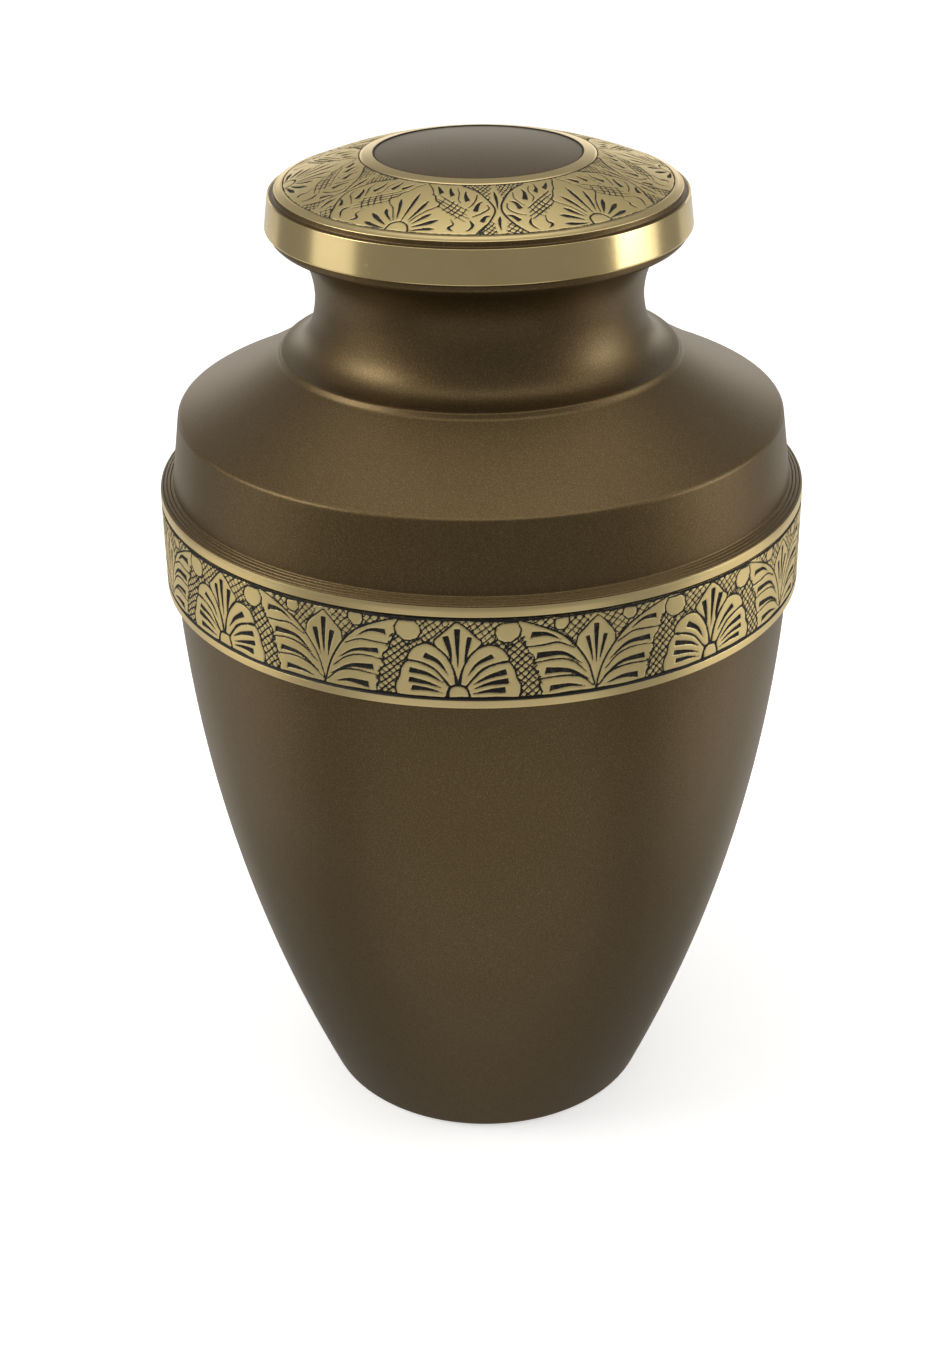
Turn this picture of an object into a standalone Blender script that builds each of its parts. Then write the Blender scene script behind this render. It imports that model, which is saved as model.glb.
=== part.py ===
"""A brass cremation urn: a hollow turned body with an engraved belt, and a lid that plugs its neck.

Metres, +Z up, the origin at the middle of the underside. The front is towards -Y. Both pieces are turned
shapes about the Z axis, and a profile is a list of (radius, height) points. The engraving on the belt and on
the lid's face is cut as short tapered chips, each widest and deepest near its outer end.
"""

import math

import bmesh
import bpy
from mathutils import Vector

# Fineness of the turned surfaces
SEGMENTS = 56
AXIS_EPSILON = 1e-9

# Body: foot and side
FOOT_RADIUS = 0.0461
FOOT_EDGE = 0.0012
BELLY_RADIUS = 0.0817
SIDE_FULLNESS = 0.917
SIDE_STEPS = 6

# Body: the raised belt
BELT_BOTTOM = 0.1563
BELT_HEIGHT = 0.0267
BELT_PROUD = 0.0023
BELT_LOWER_RIM = 0.0021
BELT_UPPER_RIM = 0.0028
LINE_WIDTH = 0.0009
LINE_DEPTH = 0.0005

# Body: ledge, drum and shoulder over the belt
LEDGE_WIDTH = 0.0034
LEDGE_RISE = 0.0010
DRUM_HEIGHT = 0.0180
DRUM_TAPER = 0.0025
CREST_EDGE = 0.0006
SHOULDER_RISE = 0.0142
SHOULDER_SAG = 0.0006
SHOULDER_STEPS = 2

# Body: neck, with the small bead at its root and the flange that carries the lid
BEAD_RADIUS = 0.0518
BEAD_HEIGHT = 0.0015
BEAD_EDGE = 0.0005
WAIST_RADIUS = 0.0416
WAIST_RISE = 0.0138
COVE_FLATNESS = 0.93
COVE_STEPS = 4
NECK_HEIGHT = 0.0289
FLANGE_RADIUS = 0.0522
FLANGE_THICKNESS = 0.0023
FLANGE_ROUND = 0.0009
FLARE_STEPS = 3

# Body: hollow inside
WALL = 0.0014
FLOOR = 0.0024
MOUTH_RADIUS = 0.0396
INNER_STEPS = 3

# Lid
SEAT_GAP = 0.0003
LID_RADIUS = 0.0535
LID_EDGE = 0.0004
RIM_HEIGHT = 0.0084
RIM_TAPER = 0.0011
GROOVE_WIDTH = 0.0013
FACE_STEP = 0.0014
FACE_RISE = 0.0078
FACE_FULLNESS = 0.75
FACE_STEPS = 4
DISC_RADIUS = 0.0261
DISC_SINK = 0.0003
DOME_RISE = 0.0013
DOME_STEPS = 2
FACE_PLAIN_OUTER = 0.0026
FACE_PLAIN_INNER = 0.0039

# Lid: plug collar and hollow under the face
COLLAR_CLEARANCE = 0.0006
COLLAR_WALL = 0.0025
COLLAR_DEPTH = 0.0110
LID_WALL = 0.0024

# Engraving
CHIP_DEPTH = 0.0006
CHIP_PROUD = 0.0004
CHIP_WIDTH = 0.0014
CHIP_BELLY_SHARE = 0.8
BELT_PAIR_COUNT = 8
BELT_TURN = math.radians(-4.0)
LID_PAIR_COUNT = 6
LID_TURN = math.radians(-23.5)
FAN_BOSS_SHARE = 0.20
FAN_SPREAD = math.radians(82)
LID_RAY_COUNT = 5
LID_RAY_SHARES = (0.42, 0.62)

# Strokes as root x, root y, tip x, tip y, in shares of the carved field's height
PALMETTE = (
    (0.00, 0.40, 0.00, 0.86),
    (0.07, 0.42, 0.13, 0.76),
    (0.13, 0.28, 0.37, 0.52),
    (0.17, 0.15, 0.50, 0.30),
    (0.19, 0.09, 0.53, 0.19),
    (0.19, 0.03, 0.50, 0.06),
)
PALM = (
    (0.00, 0.40, 0.00, 0.86),
    (0.05, 0.40, 0.14, 0.70),
    (0.01, 0.05, 0.12, 0.34),
    (0.16, 0.40, 0.60, 0.84),
    (0.22, 0.08, 0.62, 0.06),
    (0.24, 0.26, 0.74, 0.30),
    (0.34, 0.46, 0.82, 0.50),
    (0.52, 0.64, 0.84, 0.72),
)
LEAF_PAIR = (
    (0.00, 0.12, 0.00, 0.60),
    (0.16, 0.20, 0.34, 0.14),
    (0.15, 0.40, 0.36, 0.34),
    (0.22, 0.56, 0.42, 0.52),
    (0.34, 0.74, 0.50, 0.64),
)

# Finishes: name, colour, metallic, roughness
LACQUER = ("bronze_lacquer", (0.105, 0.076, 0.042, 1.0), 0.55, 0.42)
BRASS = ("polished_brass", (0.62, 0.50, 0.26, 1.0), 1.0, 0.26)
PATINA = ("black_patina", (0.015, 0.014, 0.012, 1.0), 0.0, 0.60)
FINISHES = (LACQUER, BRASS, PATINA)
LACQUER_SLOT, BRASS_SLOT, PATINA_SLOT = range(len(FINISHES))

# Heights and radii that follow from the dimensions above
BELT_RADIUS = BELLY_RADIUS + BELT_PROUD
BELT_TOP = BELT_BOTTOM + BELT_HEIGHT
DRUM_RADIUS = BELT_RADIUS - LEDGE_WIDTH
DRUM_FOOT = BELT_TOP + LEDGE_RISE
CREST_RADIUS = DRUM_RADIUS - DRUM_TAPER
CREST = DRUM_FOOT + DRUM_HEIGHT
SHOULDER_TOP = CREST + SHOULDER_RISE
BEAD_TOP = SHOULDER_TOP + BEAD_HEIGHT
WAIST = BEAD_TOP + WAIST_RISE
FLANGE_BOTTOM = BEAD_TOP + NECK_HEIGHT
NECK_TOP = FLANGE_BOTTOM + FLANGE_THICKNESS
LID_BOTTOM = NECK_TOP + SEAT_GAP
RIM_TOP = LID_BOTTOM + RIM_HEIGHT
GROOVE_OUTER = LID_RADIUS - RIM_TAPER - LID_EDGE
FACE_RADIUS = GROOVE_OUTER - GROOVE_WIDTH
FACE_FOOT = RIM_TOP + FACE_STEP
FACE_TOP = FACE_FOOT + FACE_RISE
FIELD_BOTTOM = BELT_BOTTOM + BELT_LOWER_RIM + LINE_WIDTH
FIELD_TOP = BELT_TOP - BELT_UPPER_RIM - LINE_WIDTH
FIELD_HEIGHT = FIELD_TOP - FIELD_BOTTOM
LID_FIELD_OUTER = FACE_RADIUS - FACE_PLAIN_OUTER
LID_FIELD_INNER = DISC_RADIUS + FACE_PLAIN_INNER


def curve(start, control, end, steps):
    """Points of a quadratic curve from start to end, which its control point pulls towards itself."""
    points = []
    for index in range(steps + 1):
        t = index / steps
        points.append(tuple(
            (1 - t) ** 2 * a + 2 * t * (1 - t) * b + t ** 2 * c for a, b, c in zip(start, control, end)
        ))
    return points


def side_points(steps):
    """The urn's flank from the foot to the belt: steep at the top, drawn in towards the foot."""
    control = (
        FOOT_RADIUS + (BELLY_RADIUS - FOOT_RADIUS) * SIDE_FULLNESS,
        (FOOT_EDGE + BELT_BOTTOM) / 2,
    )
    return curve((FOOT_RADIUS, FOOT_EDGE), control, (BELLY_RADIUS, BELT_BOTTOM), steps)


def line_points(low):
    """A turned line around the belt: a V between two heights."""
    return [
        (BELT_RADIUS, low),
        (BELT_RADIUS - LINE_DEPTH, low + LINE_WIDTH / 2),
        (BELT_RADIUS, low + LINE_WIDTH),
    ]


def shoulder_points():
    """The shoulder from the crest to the bead: a cone that sags a little."""
    start = (CREST_RADIUS - CREST_EDGE, CREST)
    end = (BEAD_RADIUS, SHOULDER_TOP)
    control = ((start[0] + end[0]) / 2, (start[1] + end[1]) / 2 - 2 * SHOULDER_SAG)
    return curve(start, control, end, SHOULDER_STEPS)


def neck_points():
    """The neck over the bead: a deep cove in to the waist, and a flare out to the flange."""
    root = BEAD_RADIUS - 2 * BEAD_EDGE
    low = curve(
        (root, BEAD_TOP),
        (root + (WAIST_RADIUS - root) * COVE_FLATNESS, BEAD_TOP + WAIST_RISE * (1 - COVE_FLATNESS)),
        (WAIST_RADIUS, WAIST),
        COVE_STEPS,
    )
    brim = FLANGE_RADIUS - FLANGE_ROUND
    high = curve(
        (WAIST_RADIUS, WAIST),
        (WAIST_RADIUS + (brim - WAIST_RADIUS) * (1 - COVE_FLATNESS) / 2,
         FLANGE_BOTTOM - (FLANGE_BOTTOM - WAIST) * (1 - COVE_FLATNESS) * 2),
        (brim, FLANGE_BOTTOM),
        FLARE_STEPS,
    )
    return low + high[1:]


def body_outside():
    """The body's outer profile, from the middle of the underside up to the flange's top edge."""
    return [
        (0, 0),
        (FOOT_RADIUS - FOOT_EDGE, 0),
        *side_points(SIDE_STEPS),
        (BELT_RADIUS, BELT_BOTTOM),
        *line_points(BELT_BOTTOM + BELT_LOWER_RIM),
        *line_points(FIELD_TOP),
        (BELT_RADIUS, BELT_TOP),
        (DRUM_RADIUS, DRUM_FOOT),
        (CREST_RADIUS, CREST - CREST_EDGE),
        *shoulder_points(),
        (BEAD_RADIUS, BEAD_TOP - BEAD_EDGE),
        *neck_points(),
        (FLANGE_RADIUS, FLANGE_BOTTOM + FLANGE_ROUND),
        (FLANGE_RADIUS, NECK_TOP),
    ]


def body_inside():
    """The body's hollow, from the mouth down to the middle of its floor, a wall's thickness inside."""
    flank = [(radius - WALL, height) for radius, height in side_points(INNER_STEPS) if height > FLOOR]
    share = (FLOOR - FOOT_EDGE) / (BELT_BOTTOM - FOOT_EDGE)
    floor_radius = FOOT_RADIUS + (BELLY_RADIUS - FOOT_RADIUS) * SIDE_FULLNESS * 2 * share - WALL
    run = CREST_RADIUS - BEAD_RADIUS
    under_shoulder = math.hypot(SHOULDER_RISE, run) / run * WALL
    return [
        (MOUTH_RADIUS, NECK_TOP),
        (MOUTH_RADIUS, BEAD_TOP),
        (BEAD_RADIUS, SHOULDER_TOP - under_shoulder - SHOULDER_SAG),
        (CREST_RADIUS - WALL, CREST - under_shoulder - SHOULDER_SAG),
        (DRUM_RADIUS - WALL, DRUM_FOOT),
        *reversed(flank),
        (floor_radius, FLOOR),
        (0, FLOOR),
    ]


def face_points(steps):
    """The lid's domed face from its outer edge up to the disc: flatter towards the middle."""
    start = (FACE_RADIUS - LID_EDGE, FACE_FOOT)
    end = (DISC_RADIUS, FACE_TOP)
    control = (
        start[0] + (end[0] - start[0]) * (1 - COVE_FLATNESS + FACE_FULLNESS * 2 / 3),
        start[1] + (end[1] - start[1]) * FACE_FULLNESS,
    )
    return curve(start, control, end, steps)


def lid_outside():
    """The lid's outer profile, from the foot of its rim up to the crown of the disc."""
    disc_edge = FACE_TOP - DISC_SINK
    dome = []
    for index in range(DOME_STEPS + 1):
        radius = (DISC_RADIUS - DISC_SINK) * (1 - index / DOME_STEPS)
        dome.append((radius, disc_edge + DOME_RISE * (1 - (radius / DISC_RADIUS) ** 2)))
    return [
        (LID_RADIUS - LID_EDGE, LID_BOTTOM),
        (LID_RADIUS, LID_BOTTOM + LID_EDGE),
        (LID_RADIUS - RIM_TAPER, RIM_TOP - LID_EDGE),
        (GROOVE_OUTER, RIM_TOP),
        (FACE_RADIUS, RIM_TOP),
        (FACE_RADIUS, FACE_FOOT - LID_EDGE),
        *face_points(FACE_STEPS),
        *dome,
    ]


def lid_inside():
    """The lid's underside, from the middle of the hollow out over the collar to the seat."""
    outer = MOUTH_RADIUS - COLLAR_CLEARANCE
    inner = outer - COLLAR_WALL
    ceiling = FACE_TOP - DISC_SINK - LID_WALL
    slope = FACE_RISE / (FACE_RADIUS - DISC_RADIUS)
    collar_foot = LID_BOTTOM - COLLAR_DEPTH
    return [
        (0, ceiling),
        (DISC_RADIUS - LID_WALL, ceiling),
        (inner, ceiling - (inner - DISC_RADIUS + LID_WALL) * slope),
        (inner, collar_foot),
        (outer, collar_foot),
        (outer, LID_BOTTOM),
    ]


def material(name, colour, metallic, roughness):
    """A plain Principled finish."""
    made = bpy.data.materials.new(name)
    made.use_nodes = True
    shader = made.node_tree.nodes["Principled BSDF"]
    shader.inputs["Base Color"].default_value = colour
    shader.inputs["Metallic"].default_value = metallic
    shader.inputs["Roughness"].default_value = roughness
    made.diffuse_color = colour
    return made


def object_from(mesh_data, name, finishes):
    """An object in the scene's collection with these finishes in its slots."""
    mesh = bpy.data.meshes.new(name)
    mesh_data.to_mesh(mesh)
    mesh_data.free()
    for finish in finishes:
        mesh.materials.append(finish)
    made = bpy.data.objects.new(name, mesh)
    bpy.context.scene.collection.objects.link(made)
    return made


def turned(profile):
    """A closed mesh from a profile that starts and ends on the axis, spun about Z."""
    shape = bmesh.new()
    vertices = [shape.verts.new((radius, 0, height)) for radius, height in profile]
    edges = [shape.edges.new(pair) for pair in zip(vertices, vertices[1:])]
    bmesh.ops.spin(
        shape, geom=vertices + edges, cent=(0, 0, 0), axis=(0, 0, 1),
        angle=math.tau, steps=SEGMENTS, use_merge=True,
    )
    bmesh.ops.remove_doubles(shape, verts=shape.verts, dist=AXIS_EPSILON * 1000)
    bmesh.ops.recalc_face_normals(shape, faces=shape.faces)
    return shape


def chip(shape, place, root, tip):
    """Adds one chip cutter: a wedge, pointed at its root and square at its tip, deepest near the tip.

    place turns flat (across, up, out) values into a point on the carved surface. The cutter stands proud
    enough to clear the corner between two facets, and is that much wider than the cut that it leaves.
    """
    root, tip = Vector(root), Vector(tip)
    along = tip - root
    side = Vector((along.y, -along.x)).normalized() * CHIP_WIDTH / 2 * (1 + CHIP_PROUD / CHIP_DEPTH)
    deepest = root + along * CHIP_BELLY_SHARE
    ring = [shape.verts.new(place(point.x, point.y, CHIP_PROUD)) for point in (root, tip + side, tip - side)]
    top = shape.verts.new(place(deepest.x, deepest.y, CHIP_PROUD * 2))
    bottom = shape.verts.new(place(deepest.x, deepest.y, -CHIP_DEPTH))
    for here, after in zip(ring, ring[1:] + ring[:1]):
        shape.faces.new((here, after, top)).material_index = PATINA_SLOT
        shape.faces.new((after, here, bottom)).material_index = PATINA_SLOT


def strokes(shape, place, height, table):
    """Cuts a table of strokes, each once on each side, and one on the middle line only once."""
    for root_x, root_y, tip_x, tip_y in table:
        for side in (1, -1) if tip_x else (1,):
            across = side * height
            chip(shape, place, (root_x * across, root_y * height), (tip_x * across, tip_y * height))


def fan_strokes(rays, shortest, longest):
    """A shell's strokes: rays spread from a half disc at its foot, the upright one the longest."""
    table = []
    for index in range(rays):
        turn = FAN_SPREAD * index / (rays - 1)
        reach = shortest + (longest - shortest) * math.cos(turn) ** 2
        table.append((
            FAN_BOSS_SHARE * math.sin(turn), FAN_BOSS_SHARE * math.cos(turn),
            reach * math.sin(turn), reach * math.cos(turn),
        ))
    return table


def facet_share(angle):
    """How far out a turned surface's flat facet lies at this angle, as a share of its corners' radius."""
    half = math.pi / SEGMENTS
    return math.cos(half) / math.cos((angle + math.pi / 2) % (2 * half) - half)


def belt_place(turn):
    """Places flat belt values at an angle round the urn, on the belt's outside."""
    def place(across, up, out):
        angle = turn + across / BELT_RADIUS
        radius = BELT_RADIUS * facet_share(angle) + out
        return (radius * math.sin(angle), -radius * math.cos(angle), FIELD_BOTTOM + up)
    return place


def lid_place(turn):
    """Places flat values on the lid's sloping face, up being towards the disc."""
    slope = math.atan2(FACE_RISE, FACE_RADIUS - DISC_RADIUS)
    profile = face_points(FACE_STEPS)

    def height_at(radius):
        """The face's height at a radius, read along its own facets."""
        for (r0, z0), (r1, z1) in zip(profile, profile[1:]):
            if r1 <= radius <= r0:
                return z0 + (z1 - z0) * (r0 - radius) / (r0 - r1)
        return profile[0][1]

    def place(across, up, out):
        ring = LID_FIELD_OUTER - up * math.cos(slope)
        angle = turn + across / LID_FIELD_OUTER
        z = height_at(ring / facet_share(angle)) + out * math.cos(slope)
        radius = ring + out * math.sin(slope)
        return (radius * math.sin(angle), -radius * math.cos(angle), z)
    return place


def cutter(shape, name, finishes):
    """A helper object that only cuts: outlined in the viewport and left out of the render."""
    bmesh.ops.recalc_face_normals(shape, faces=shape.faces)
    made = object_from(shape, name, finishes)
    made.hide_render = True
    made.display_type = "WIRE"
    return made


def engraved(target, chips):
    """Cuts the chips out of the target."""
    cut = target.modifiers.new("engraving", "BOOLEAN")
    cut.operation = "DIFFERENCE"
    cut.solver = "EXACT"
    cut.material_mode = "INDEX"
    cut.object = chips


def dress(target, is_brass):
    """Smooth shading with sharp corners, and brass on the faces that the test picks."""
    target.data.shade_smooth()
    target.data.set_sharp_from_angle(angle=math.radians(25))
    for face in target.data.polygons:
        face.material_index = BRASS_SLOT if is_brass(face.center) else LACQUER_SLOT


def on_belt(point):
    """Whether a point lies on the belt's brass."""
    outside = math.hypot(point.x, point.y) > (BELLY_RADIUS + BELT_RADIUS) / 2
    return outside and BELT_BOTTOM < point.z < BELT_TOP


def on_lid_brass(point):
    """Whether a point lies on the lid's rim or on its engraved face."""
    radius = math.hypot(point.x, point.y)
    rim = radius > GROOVE_OUTER and point.z > LID_BOTTOM
    face = DISC_RADIUS < radius < FACE_RADIUS + AXIS_EPSILON and point.z > RIM_TOP
    return rim or face


def build_body(finishes):
    """The hollow body with its engraved belt."""
    body = object_from(turned(body_outside() + body_inside()), "urn_body", finishes)
    dress(body, on_belt)
    chips = bmesh.new()
    step = math.tau / BELT_PAIR_COUNT
    for index in range(BELT_PAIR_COUNT):
        turn = BELT_TURN + index * step
        strokes(chips, belt_place(turn), FIELD_HEIGHT, PALMETTE)
        strokes(chips, belt_place(turn + step / 2), FIELD_HEIGHT, PALM)
    engraved(body, cutter(chips, "belt_chips", finishes))


def build_lid(finishes):
    """The lid with its plug collar and engraved face."""
    profile = list(reversed(lid_outside()))
    profile += list(reversed(lid_inside()))
    lid = object_from(turned(profile), "lid", finishes)
    dress(lid, on_lid_brass)
    chips = bmesh.new()
    step = math.tau / LID_PAIR_COUNT
    field = LID_FIELD_OUTER - LID_FIELD_INNER
    shell = fan_strokes(LID_RAY_COUNT, *LID_RAY_SHARES)
    for index in range(LID_PAIR_COUNT):
        turn = LID_TURN + index * step
        strokes(chips, lid_place(turn), field, shell)
        strokes(chips, lid_place(turn + step / 2), field, LEAF_PAIR)
    engraved(lid, cutter(chips, "lid_chips", finishes))


def main():
    """Clears the scene and builds both pieces."""
    for old in list(bpy.data.objects):
        bpy.data.objects.remove(old)
    finishes = [material(*finish) for finish in FINISHES]
    build_body(finishes)
    build_lid(finishes)


main()
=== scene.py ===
"""Dresses a brass cremation urn: a lacquered turned body, an engraved belt and an engraved lid.

Metres throughout, +Z up, the front towards -Y. Every surface is a turned profile of (radius, height) points.
The engraving is a distance field in millimetres: below zero inside a cut, above zero on the bare metal.
"""

import logging
import math
from dataclasses import dataclass, field
from enum import Enum
from typing import Callable, Protocol

import bpy
import numpy as np
from mathutils import Matrix

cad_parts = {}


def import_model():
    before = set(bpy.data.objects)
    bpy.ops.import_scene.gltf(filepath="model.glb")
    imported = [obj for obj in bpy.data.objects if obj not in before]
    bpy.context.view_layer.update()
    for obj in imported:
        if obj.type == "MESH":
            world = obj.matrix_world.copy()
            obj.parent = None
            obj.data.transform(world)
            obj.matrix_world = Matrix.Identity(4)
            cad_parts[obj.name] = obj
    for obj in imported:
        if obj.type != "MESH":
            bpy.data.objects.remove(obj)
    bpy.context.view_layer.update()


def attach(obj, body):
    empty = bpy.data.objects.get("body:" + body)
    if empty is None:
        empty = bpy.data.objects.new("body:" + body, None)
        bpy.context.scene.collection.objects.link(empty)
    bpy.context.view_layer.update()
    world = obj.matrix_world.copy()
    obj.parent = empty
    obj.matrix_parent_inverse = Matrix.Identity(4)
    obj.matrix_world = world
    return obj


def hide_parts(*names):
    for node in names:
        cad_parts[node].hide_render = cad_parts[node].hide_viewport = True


MM = 0.001
LOG = logging.getLogger("urn")

Point = tuple[float, float]
Table = tuple[Point, ...]
Range = tuple[float, float]
Colour = tuple[float, float, float, float]


# Shader expressions

class Signal:
    """A shader socket that takes part in Python arithmetic: each operator adds one Math node."""

    def __init__(self, graph: "Graph", socket: bpy.types.NodeSocket) -> None:
        """Keeps the socket and the graph that it belongs to."""
        self.graph, self.socket = graph, socket

    def _math(self, operation: str, *values: object) -> "Signal":
        """The result of one Math node."""
        return self.graph.add("ShaderNodeMath", {"operation": operation}, dict(enumerate(values))).out()

    def __add__(self, other: object) -> "Signal":
        """self + other"""
        return self._math("ADD", self, other)

    def __radd__(self, other: object) -> "Signal":
        """other + self"""
        return self._math("ADD", other, self)

    def __sub__(self, other: object) -> "Signal":
        """self - other"""
        return self._math("SUBTRACT", self, other)

    def __rsub__(self, other: object) -> "Signal":
        """other - self"""
        return self._math("SUBTRACT", other, self)

    def __mul__(self, other: object) -> "Signal":
        """self * other"""
        return self._math("MULTIPLY", self, other)

    def __rmul__(self, other: object) -> "Signal":
        """other * self"""
        return self._math("MULTIPLY", other, self)

    def __pow__(self, other: object) -> "Signal":
        """self raised to other"""
        return self._math("POWER", self, other)

    def step(self, low: float, high: float) -> "Signal":
        """A smooth step from 0 to 1.

        Args:
            low: where it is 0.
            high: where it is 1, which may be the smaller of the two.

        Returns:
            The step.
        """
        values = {
            "Value": self, "From Min": min(low, high), "From Max": max(low, high),
            "To Min": float(low > high), "To Max": float(low <= high),
        }
        settings = {"interpolation_type": "SMOOTHSTEP", "clamp": True}
        return self.graph.add("ShaderNodeMapRange", settings, values).out()


class Made:
    """A node that was just added."""

    def __init__(self, graph: "Graph", node: bpy.types.Node) -> None:
        """Keeps the node and its graph."""
        self.graph, self.node = graph, node

    def out(self, name: str | int = 0) -> Signal:
        """One of the node's outputs."""
        return Signal(self.graph, self.node.outputs[name])


class Graph:
    """The node tree of one material."""

    def __init__(self, name: str) -> None:
        """Makes a material of this name that holds a Principled shader and its output alone."""
        self.material = bpy.data.materials.new(name)
        self.material.use_nodes = True
        self.tree = self.material.node_tree
        self.shader = self.tree.nodes["Principled BSDF"]

    def _feed(self, socket: bpy.types.NodeSocket, value: object) -> None:
        """Gives a socket its value.

        Args:
            socket: the socket.
            value: a number or a colour, which is set on it, or a Signal, which is linked to it.
        """
        if isinstance(value, Signal):
            self.tree.links.new(value.socket, socket)
        else:
            socket.default_value = value

    def add(self, kind: str, settings: dict[str, object], values: dict[str | int, object]) -> Made:
        """Adds a node.

        Args:
            kind: the node's type.
            settings: its own settings, which are set first.
            values: a number, a colour or a Signal for each of its sockets.

        Returns:
            The node.
        """
        node = self.tree.nodes.new(kind)
        for name, value in settings.items():
            setattr(node, name, value)
        for name, value in values.items():
            self._feed(node.inputs[name], value)
        return Made(self, node)

    def set(self, **values: object) -> None:
        """Sets or links the shader's own sockets, with spaces written as underscores."""
        for name, value in values.items():
            self._feed(self.shader.inputs[name.replace("_", " ")], value)

    def place(self) -> Signal:
        """The point's place on the piece, in metres."""
        return self.add("ShaderNodeTexCoord", {}, {}).out("Object")

    def attribute(self, name: str) -> Signal:
        """A number kept at each point of the mesh."""
        return self.add("ShaderNodeAttribute", {"attribute_name": name}, {}).out("Fac")

    def lathe_place(self, trace: float = 0.02) -> Signal:
        """The place with its angle squeezed out, so that noise on it runs in rings round the lathe's axis.

        Args:
            trace: how much of x stays, which lets a ring change a little on its way round.

        Returns:
            A point's radius, the trace of its x, and its height.
        """
        split = self.add("ShaderNodeSeparateXYZ", {}, {0: self.place()})
        x, y, z = split.out("X"), split.out("Y"), split.out("Z")
        radius = (x * x + y * y) ** 0.5
        return self.add("ShaderNodeCombineXYZ", {}, {"X": radius, "Y": x * trace, "Z": z}).out()

    def noise(self, place: Signal, scale: float, detail: float = 2.0, roughness: float = 0.5) -> Signal:
        """Soft noise from 0 to 1 with this many waves in a metre."""
        values = {"Vector": place, "Scale": scale, "Detail": detail, "Roughness": roughness}
        return self.add("ShaderNodeTexNoise", {}, values).out("Fac")

    def mix(self, share: object, low: object, high: object) -> Signal:
        """A colour that goes from low to high as share goes from 0 to 1."""
        values = {0: share, 6: low, 7: high}
        return self.add("ShaderNodeMix", {"data_type": "RGBA", "clamp_factor": True}, values).out(2)

    def bump(self, height: Signal, distance: float, strength: float) -> Signal:
        """A normal from a height, which counts as distance metres at 1."""
        values = {"Height": height, "Distance": distance, "Strength": strength}
        return self.add("ShaderNodeBump", {}, values).out("Normal")


# Finishes: each range holds the two values of a noise or a distance between which something sets in

@dataclass(frozen=True)
class BronzeLacquer:
    """Satin bronze-brown lacquer full of fine metal flake, over brass."""

    shade: Colour = (0.124, 0.080, 0.028, 1.0)
    flake: Colour = (0.200, 0.143, 0.070, 1.0)
    dust: Colour = (0.100, 0.060, 0.018, 1.0)
    flakes_per_metre: float = 3400.0
    specks_per_metre: float = 1870.0
    clouds_per_metre: float = 28.0
    flake_range: Range = (0.42, 0.78)
    speck_range: Range = (0.55, 0.25)
    cloud_range: Range = (0.30, 0.75)
    speck_share: float = 0.50
    cloud_share: float = 0.16
    metallic: float = 0.86
    roughness: float = 0.36
    flake_roughness: float = 0.10
    cloud_roughness: float = 0.05
    coat: float = 0.20
    coat_roughness: float = 0.34
    speck_height: float = 0.7
    relief: float = 0.02 * MM
    relief_strength: float = 0.35

    def build(self) -> bpy.types.Material:
        """Makes the finish.

        Returns:
            The material.
        """
        graph = Graph("bronze_lacquer")
        place = graph.place()
        flakes = graph.noise(place, self.flakes_per_metre, 1.0)
        clouds = graph.noise(place, self.clouds_per_metre, 3.0)
        specks = graph.noise(place, self.specks_per_metre)
        tone = graph.mix(flakes.step(*self.flake_range), self.shade, self.flake)
        tone = graph.mix(specks.step(*self.speck_range) * self.speck_share, tone, self.dust)
        tone = graph.mix(clouds.step(*self.cloud_range) * self.cloud_share, tone, self.dust)
        graph.set(
            Base_Color=tone, Metallic=self.metallic,
            Roughness=self.roughness + flakes * self.flake_roughness + clouds * self.cloud_roughness,
            Coat_Weight=self.coat, Coat_Roughness=self.coat_roughness,
            Normal=graph.bump(flakes + specks * self.speck_height, self.relief, self.relief_strength),
        )
        return graph.material


@dataclass(frozen=True)
class PolishedBrass:
    """Bare brass off the lathe, mirror bright or satin."""

    name: str = "polished_brass"
    tone: Colour = (0.80, 0.635, 0.315, 1.0)
    warm: Colour = (0.70, 0.525, 0.235, 1.0)
    lines_per_metre: float = 5200.0
    clouds_per_metre: float = 45.0
    flecks_per_metre: float = 900.0
    cloud_range: Range = (0.35, 0.80)
    fleck_range: Range = (0.62, 0.80)
    warm_share: float = 0.55
    roughness: float = 0.13
    line_roughness: float = 0.05
    cloud_roughness: float = 0.06
    fleck_roughness: float = 0.10
    cloud_height: float = 2.0
    relief: float = 0.012 * MM
    relief_strength: float = 0.5

    def build(self) -> bpy.types.Material:
        """Makes the finish.

        Returns:
            The material.
        """
        graph = Graph(self.name)
        lines = graph.noise(graph.lathe_place(), self.lines_per_metre)
        clouds = graph.noise(graph.place(), self.clouds_per_metre, 4.0, 0.6)
        flecks = graph.noise(graph.place(), self.flecks_per_metre).step(*self.fleck_range)
        roughness = self.roughness + clouds * self.cloud_roughness + lines * self.line_roughness
        graph.set(
            Base_Color=graph.mix(clouds.step(*self.cloud_range) * self.warm_share, self.tone, self.warm),
            Metallic=1.0, Roughness=roughness + flecks * self.fleck_roughness,
            Normal=graph.bump(lines + clouds * self.cloud_height, self.relief, self.relief_strength),
        )
        return graph.material


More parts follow.
